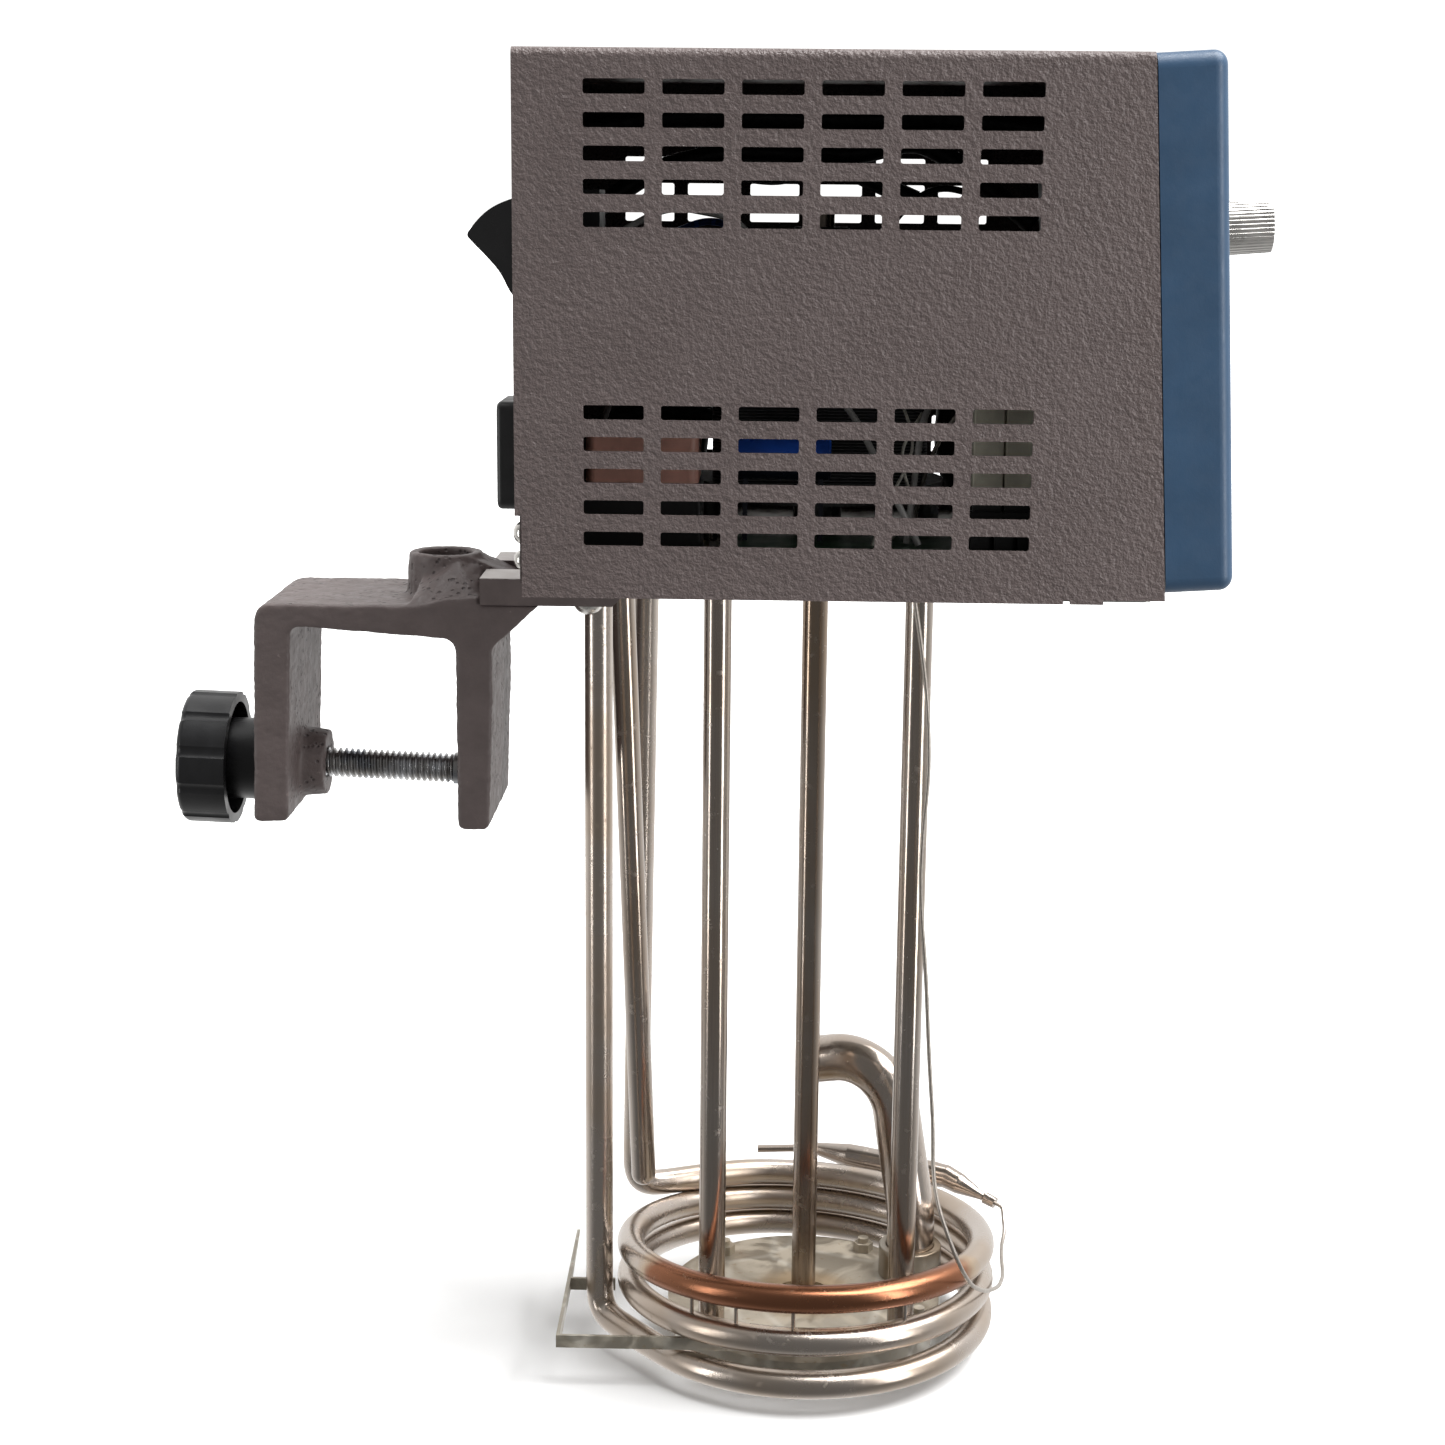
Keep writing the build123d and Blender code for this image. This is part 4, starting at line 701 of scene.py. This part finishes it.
class THERMOSTAT_OT_clamp(ThermostatPiece, bpy.types.Operator):
    """Cast clamp, its bars, threaded spindle, pressure cap and star knob"""
    bl_idname = "thermostat.clamp"
    bl_label = "Clamp"

    def execute(self, context):
        self.casting(context)
        _, bar_top, _ = spans("mounting_bars")
        paint = context.scene.thermostat_paint
        # The bars' top face gets a painted highlight, a pale half-metallic band.
        dress(paint_with_lit_top(tuple(paint.case), bar_top[2]), "mounting_bars", "bar_spacers")
        dress(dark_zinc("plated_cap"), "pressure_cap")
        dress(moulded("star_knob_plastic", (0.008, 0.008, 0.009), 0.34, 0.00004), "star_knob")
        self.thread(context.scene.thermostat_clamp)
        return {"FINISHED"}

    def casting(self, context):
        """The CAD casting with a gusset at each side of its socket, remade on a fine grid. Averaging rounds its
        edges, and every point then moves along its normal by a slow wave plus a finer one, as a sand mould
        leaves it."""
        grain = context.scene.thermostat_clamp.cast_grain
        work = bmesh.new()
        work.from_mesh(frame["nodes"]["clamp_casting"].data)
        bmesh.ops.remove_doubles(work, verts=work.verts, dist=1e-6)
        for side in (-1, 1):
            gusset = [work.verts.new((x * MM, side * y * MM, z * MM)) for x, y, z in GUSSET_CORNERS]
            bmesh.ops.convex_hull(work, input=gusset)
        rough = bpy.data.meshes.new("clamp_rough")
        work.to_mesh(rough)
        work.free()
        block = bpy.data.objects.new("clamp_rough", rough)
        context.scene.collection.objects.link(block)
        remesh = block.modifiers.new("remesh", "REMESH")
        remesh.mode = "VOXEL"
        remesh.voxel_size = 0.7 * MM
        skin = bpy.data.meshes.new_from_object(block.evaluated_get(context.evaluated_depsgraph_get()))
        bpy.data.objects.remove(block)
        work = bmesh.new()
        work.from_mesh(skin)
        for _ in range(5):
            bmesh.ops.smooth_vert(work, verts=work.verts, factor=0.5, use_axis_x=True, use_axis_y=True,
                                  use_axis_z=True)
        work.to_mesh(skin)
        work.free()
        count = len(skin.vertices)
        points, normals = np.zeros(count * 3), np.zeros(count * 3)
        skin.vertices.foreach_get("co", points)
        skin.vertex_normals.foreach_get("vector", normals)
        points, normals = points.reshape(-1, 3), normals.reshape(-1, 3)
        height = grain * (0.45 * waves(points, 70, 3) + 0.35 * waves(points, 330, 4) - 0.6)
        points = points + normals * height[:, None]
        skin.vertices.foreach_set("co", points.ravel())
        skin.polygons.foreach_set("use_smooth", np.ones(len(skin.polygons), bool))
        skin.materials.clear()
        skin.materials.append(cast_paint(tuple(context.scene.thermostat_paint.case)))
        skin.name = "clamp_skin"
        piece = bpy.data.objects.new("clamp_skin", skin)
        context.scene.collection.objects.link(piece)
        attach(piece, ROOT)
        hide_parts("clamp_casting")

    def thread(self, sizes):
        """Radius at distance x and angle a: the outside radius less the depth times a trapezoid wave of
        x / pitch - a / 2 pi; the wave falls to nothing at the thread's end."""
        axis = np.array(SPINDLE_JOINT["axis"])
        low, _, _ = spans("clamp_spindle")
        start = low[0] / axis[0]
        stop = THREAD_END * MM
        rows = int((stop - start) / (0.1 * MM))
        along = np.linspace(start, stop, rows)
        columns = 48
        angle = np.linspace(0, 2 * pi, columns, endpoint=False)
        phase = (along[:, None] / sizes.thread_pitch - angle[None, :] / (2 * pi)) % 1.0
        wave = np.clip((np.abs(phase - 0.5) * 2 - 0.30) / 0.40, 0, 1)
        run_out = np.clip((stop - along) / (1.2 * MM), 0, 1)[:, None]
        radius = SPINDLE_RADIUS * MM - sizes.thread_depth * (1 - wave) * run_out - 0.35 * MM * (1 - run_out)
        side = np.array((0, 1, 0))
        other = np.cross(axis, side)
        ring = np.cos(angle)[:, None] * side + np.sin(angle)[:, None] * other
        points = along[:, None, None] * axis + radius[..., None] * ring[None]
        spindle = surface("threaded_spindle", points)
        spindle.data.materials.append(dark_zinc("spindle_thread"))
        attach(spindle, "clamp_screw")
        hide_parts("clamp_spindle")


class THERMOSTAT_OT_heater(ThermostatPiece, bpy.types.Operator):
    """The heater: one tube, down one leg, round the coil and up the other leg"""
    bl_idname = "thermostat.heater"
    bl_label = "Heater"

    def execute(self, context):
        sizes = context.scene.thermostat_heater
        path = self.route(sizes)
        centre = np.array([HEATER_TOP[0] - sizes.tube_radius - sizes.coil_radius, 0, 0])
        outward = unit((path - centre) * (1, 1, 0))
        points = swept(path, outward, sizes.tube_radius, 28)
        reach = arc_length(path)
        tube = surface("heater_tube", points, uv_scale=reach)
        paint = context.scene.thermostat_paint
        tube.data.materials.append(heater_steel(tuple(paint.steel), tuple(paint.heat)))
        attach(tube, ROOT)
        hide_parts("heater_element")
        return {"FINISHED"}

    def route(self, sizes):
        """Straight leg, coil and straight leg. On the coil at angle a: x and y on the circle, and the height
        rises by the pitch each turn, less a tilt that grows with the turns, less a small sideways lean."""
        mid = HEATER_TOP[0] - sizes.tube_radius - sizes.coil_radius
        a = np.linspace(sizes.first_angle, sizes.last_angle, 700)
        turns = (a - pi) / (2 * pi)
        sway = (COIL_LEAN + COIL_TILT * turns) * MM * np.sin(a)
        z = COIL_START * MM + sizes.pitch * turns - sway - COIL_SIDE * MM * np.cos(a)
        coil = np.stack([mid + sizes.coil_radius * np.cos(a), sizes.coil_radius * np.sin(a), z], axis=-1)
        top = HEATER_TOP[2]
        first_leg = np.array([[*FIRST_LEG, top / MM], [*FIRST_LEG, coil[0, 2] / MM + 0.7]]) * MM
        second_leg = np.array([[*SECOND_LEG_FOOT, coil[-1, 2] / MM + 0.9], [*SECOND_LEG_HEAD, top / MM]]) * MM
        whole = resampled(np.concatenate([first_leg, coil, second_leg]), 1.5 * MM)
        return eased(eased(whole, 11), 9)


class THERMOSTAT_OT_pump(ThermostatPiece, bpy.types.Operator):
    """Pump plate, casing, bolts, columns, shaft, outlet pipe, guard strip and sensor"""
    bl_idname = "thermostat.pump"
    bl_label = "Pump and columns"

    def execute(self, context):
        steel = tuple(context.scene.thermostat_paint.steel)
        _, high, _ = spans("pump_plate")
        hub = (PUMP_JOINT["pos_m"][0], PUMP_JOINT["pos_m"][1], high[2])
        dress(scaled_steel("scaled_plate", (0.36, 0.315, 0.25), hub), "pump_plate", "pump_screws")
        dress(scaled_steel("scaled_casing", (0.30, 0.27, 0.22), hub, 0.0), "pump_casing", "guard_strip")
        dress(scaled_steel("crusted_socket", (0.19, 0.145, 0.10), hub, 0.0), "outlet_socket")
        dress(tube_steel("column_steel", shade(steel, 0.82)), "support_columns")
        dress(tube_steel("shaft_steel", shade(steel, 0.7), warm=0.9), "pump_shaft", "motor_shaft")
        dress(tube_steel("probe_steel", shade(steel, 0.85), warm=0.6), "temperature_probe")
        dress(tube_steel("outlet_steel", steel, (1, 1, 0.08), warm=0.4), "outlet_pipe")
        dress(tube_steel("bulb_steel", shade(steel, 0.9), (0.1, 1, 1)), "sensor_bulb", "coil_spacers")
        dress(bare_metal("capillary_metal", (0.42, 0.38, 0.34), 0.35), "capillary")
        dress(moulded("impeller_plastic", (0.55, 0.54, 0.50), 0.4), "impeller")
        dress(moulded("seal_rubber", (0.02, 0.02, 0.02), 0.7), "shaft_seal", "capillary_grommet")
        return {"FINISHED"}


class THERMOSTAT_OT_inner_works(ThermostatPiece, bpy.types.Operator):
    """Motor, fan, transformer, board and wires that show through the slots"""
    bl_idname = "thermostat.inner_works"
    bl_label = "Inner works"

    def execute(self, context):
        dress(layered("stator_sheets", (0.20, 0.20, 0.21), (0.06, 0.06, 0.06), 0.0010, 0.4, 1.0),
              "motor_stator", "motor_rotor")
        dress(layered("copper_winding", (0.45, 0.20, 0.08), (0.16, 0.06, 0.02), 0.0009, 0.3, 0.6),
              "motor_windings")
        dress(bare_metal("cast_shield", (0.20, 0.20, 0.20), 0.5), "end_shields", "motor_standoffs",
              "shaft_coupling")
        dress(moulded("fan_plastic", (0.015, 0.015, 0.015), 0.5), "cooling_fan", "thermostat_body",
              "terminal_blocks")
        dress(moulded("board_lacquer", (0.02, 0.07, 0.03), 0.35), "circuit_board")
        dress(shelved("paper_wrap", (0.78, 0.40, 0.32), (0.02, 0.018, 0.018), 0.1055), "transformer")
        dress(shelved("blue_sleeve", (0.02, 0.10, 0.55), (0.01, 0.012, 0.02), 0.1155, 0.3), "motor_capacitor")
        dress(shelved("relay_case", (0.90, 0.86, 0.70), (0.02, 0.02, 0.02), 0.1055, 0.4), "relays")
        dress(moulded("wire_skin", (0.35, 0.34, 0.33), 0.4), "wires")
        self.bundles()
        return {"FINISHED"}

    def bundles(self):
        """Taped wire bundles along the far wall: each is a round tube along an eased line of points."""
        black, blue, pale = ((0.012, 0.012, 0.012), (0.01, 0.06, 0.30), (0.45, 0.43, 0.38))
        runs = (
            (4.6, black, ((36, 62, 214), (70, 62, 218), (120, 61, 217), (160, 62, 218), (196, 60, 214))),
            (3.6, black, ((40, 50, 186), (58, 55, 199), (84, 60, 206), (130, 60, 205), (150, 60, 211),
                          (168, 58, 200), (190, 50, 182))),
            (2.0, black, ((96, 66, 214), (108, 66, 202), (112, 66, 196), (128, 66, 200), (134, 66, 212))),
            (1.3, blue, ((62, 58, 176), (72, 58, 181), (80, 58, 184), (92, 58, 178))),
            (1.2, black, ((138, 58, 176), (146, 58, 188), (158, 58, 196), (176, 58, 190))),
            (4.4, black, ((36, 64, 108), (50, 64, 115), (66, 64, 116), (80, 64, 115), (92, 64, 100))),
            (4.0, black, ((70, 68, 84), (74, 68, 100), (76, 68, 112), (72, 68, 124))),
            (5.0, black, ((138, 66, 84), (148, 66, 100), (150, 66, 118), (146, 66, 134))),
            (5.0, black, ((172, 66, 84), (164, 66, 100), (164, 66, 118), (170, 66, 134))),
            (3.4, black, ((84, 55, 200), (104, 56, 197), (118, 57, 204), (136, 57, 196), (150, 56, 190))),
            (0.5, pale, ((132, -70, 86), (138, -72, 104), (146, -70, 118), (141, -68, 130))),
            (0.5, pale, ((136, -66, 86), (146, -70, 100), (139, -72, 116), (147, -68, 128))),
        )
        for i, (radius, tone, route) in enumerate(runs):
            path = resampled(np.array(route, float) * MM, 1.0 * MM)
            path = eased(eased(path, 15), 11)
            bundle = surface(f"wire_bundle_{i + 1}", swept(path, (0, 0.2, 1), radius * MM, 14),
                             uv_scale=arc_length(path))
            bundle.data.materials.append(taped(f"bundle_skin_{i + 1}", tone))
            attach(bundle, ROOT)


class THERMOSTAT_PT_panel(bpy.types.Panel):
    """Lists the pieces and their sizes"""
    bl_label = "Immersion Thermostat"
    bl_idname = "THERMOSTAT_PT_panel"
    bl_space_type = "VIEW_3D"
    bl_region_type = "UI"
    bl_category = "Thermostat"

    def draw(self, context):
        for operator in OPERATORS:
            self.layout.operator(operator.bl_idname)
        for attribute, group in SETTINGS.items():
            box = self.layout.box()
            for key in group.__annotations__:
                box.prop(getattr(context.scene, attribute), key)


SETTINGS = {
    "thermostat_heater": HeaterSizes,
    "thermostat_clamp": ClampSizes,
    "thermostat_paint": PaintColours,
    "thermostat_stage": StageSizes,
}
OPERATORS = (
    THERMOSTAT_OT_stage,
    THERMOSTAT_OT_housing,
    THERMOSTAT_OT_rear,
    THERMOSTAT_OT_setting_knob,
    THERMOSTAT_OT_clamp,
    THERMOSTAT_OT_heater,
    THERMOSTAT_OT_pump,
    THERMOSTAT_OT_inner_works,
)


def register():
    for kind in (*SETTINGS.values(), *OPERATORS, THERMOSTAT_PT_panel):
        bpy.utils.register_class(kind)
    for attribute, group in SETTINGS.items():
        setattr(bpy.types.Scene, attribute, PointerProperty(type=group))


def unregister():
    for attribute in SETTINGS:
        delattr(bpy.types.Scene, attribute)
    for kind in (THERMOSTAT_PT_panel, *reversed(OPERATORS), *reversed(SETTINGS.values())):
        bpy.utils.unregister_class(kind)


def main():
    """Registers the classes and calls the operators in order."""
    register()
    for operator in OPERATORS:
        group, name = operator.bl_idname.split(".")
        getattr(getattr(bpy.ops, group), name)()


if __name__ == "__main__":
    main()
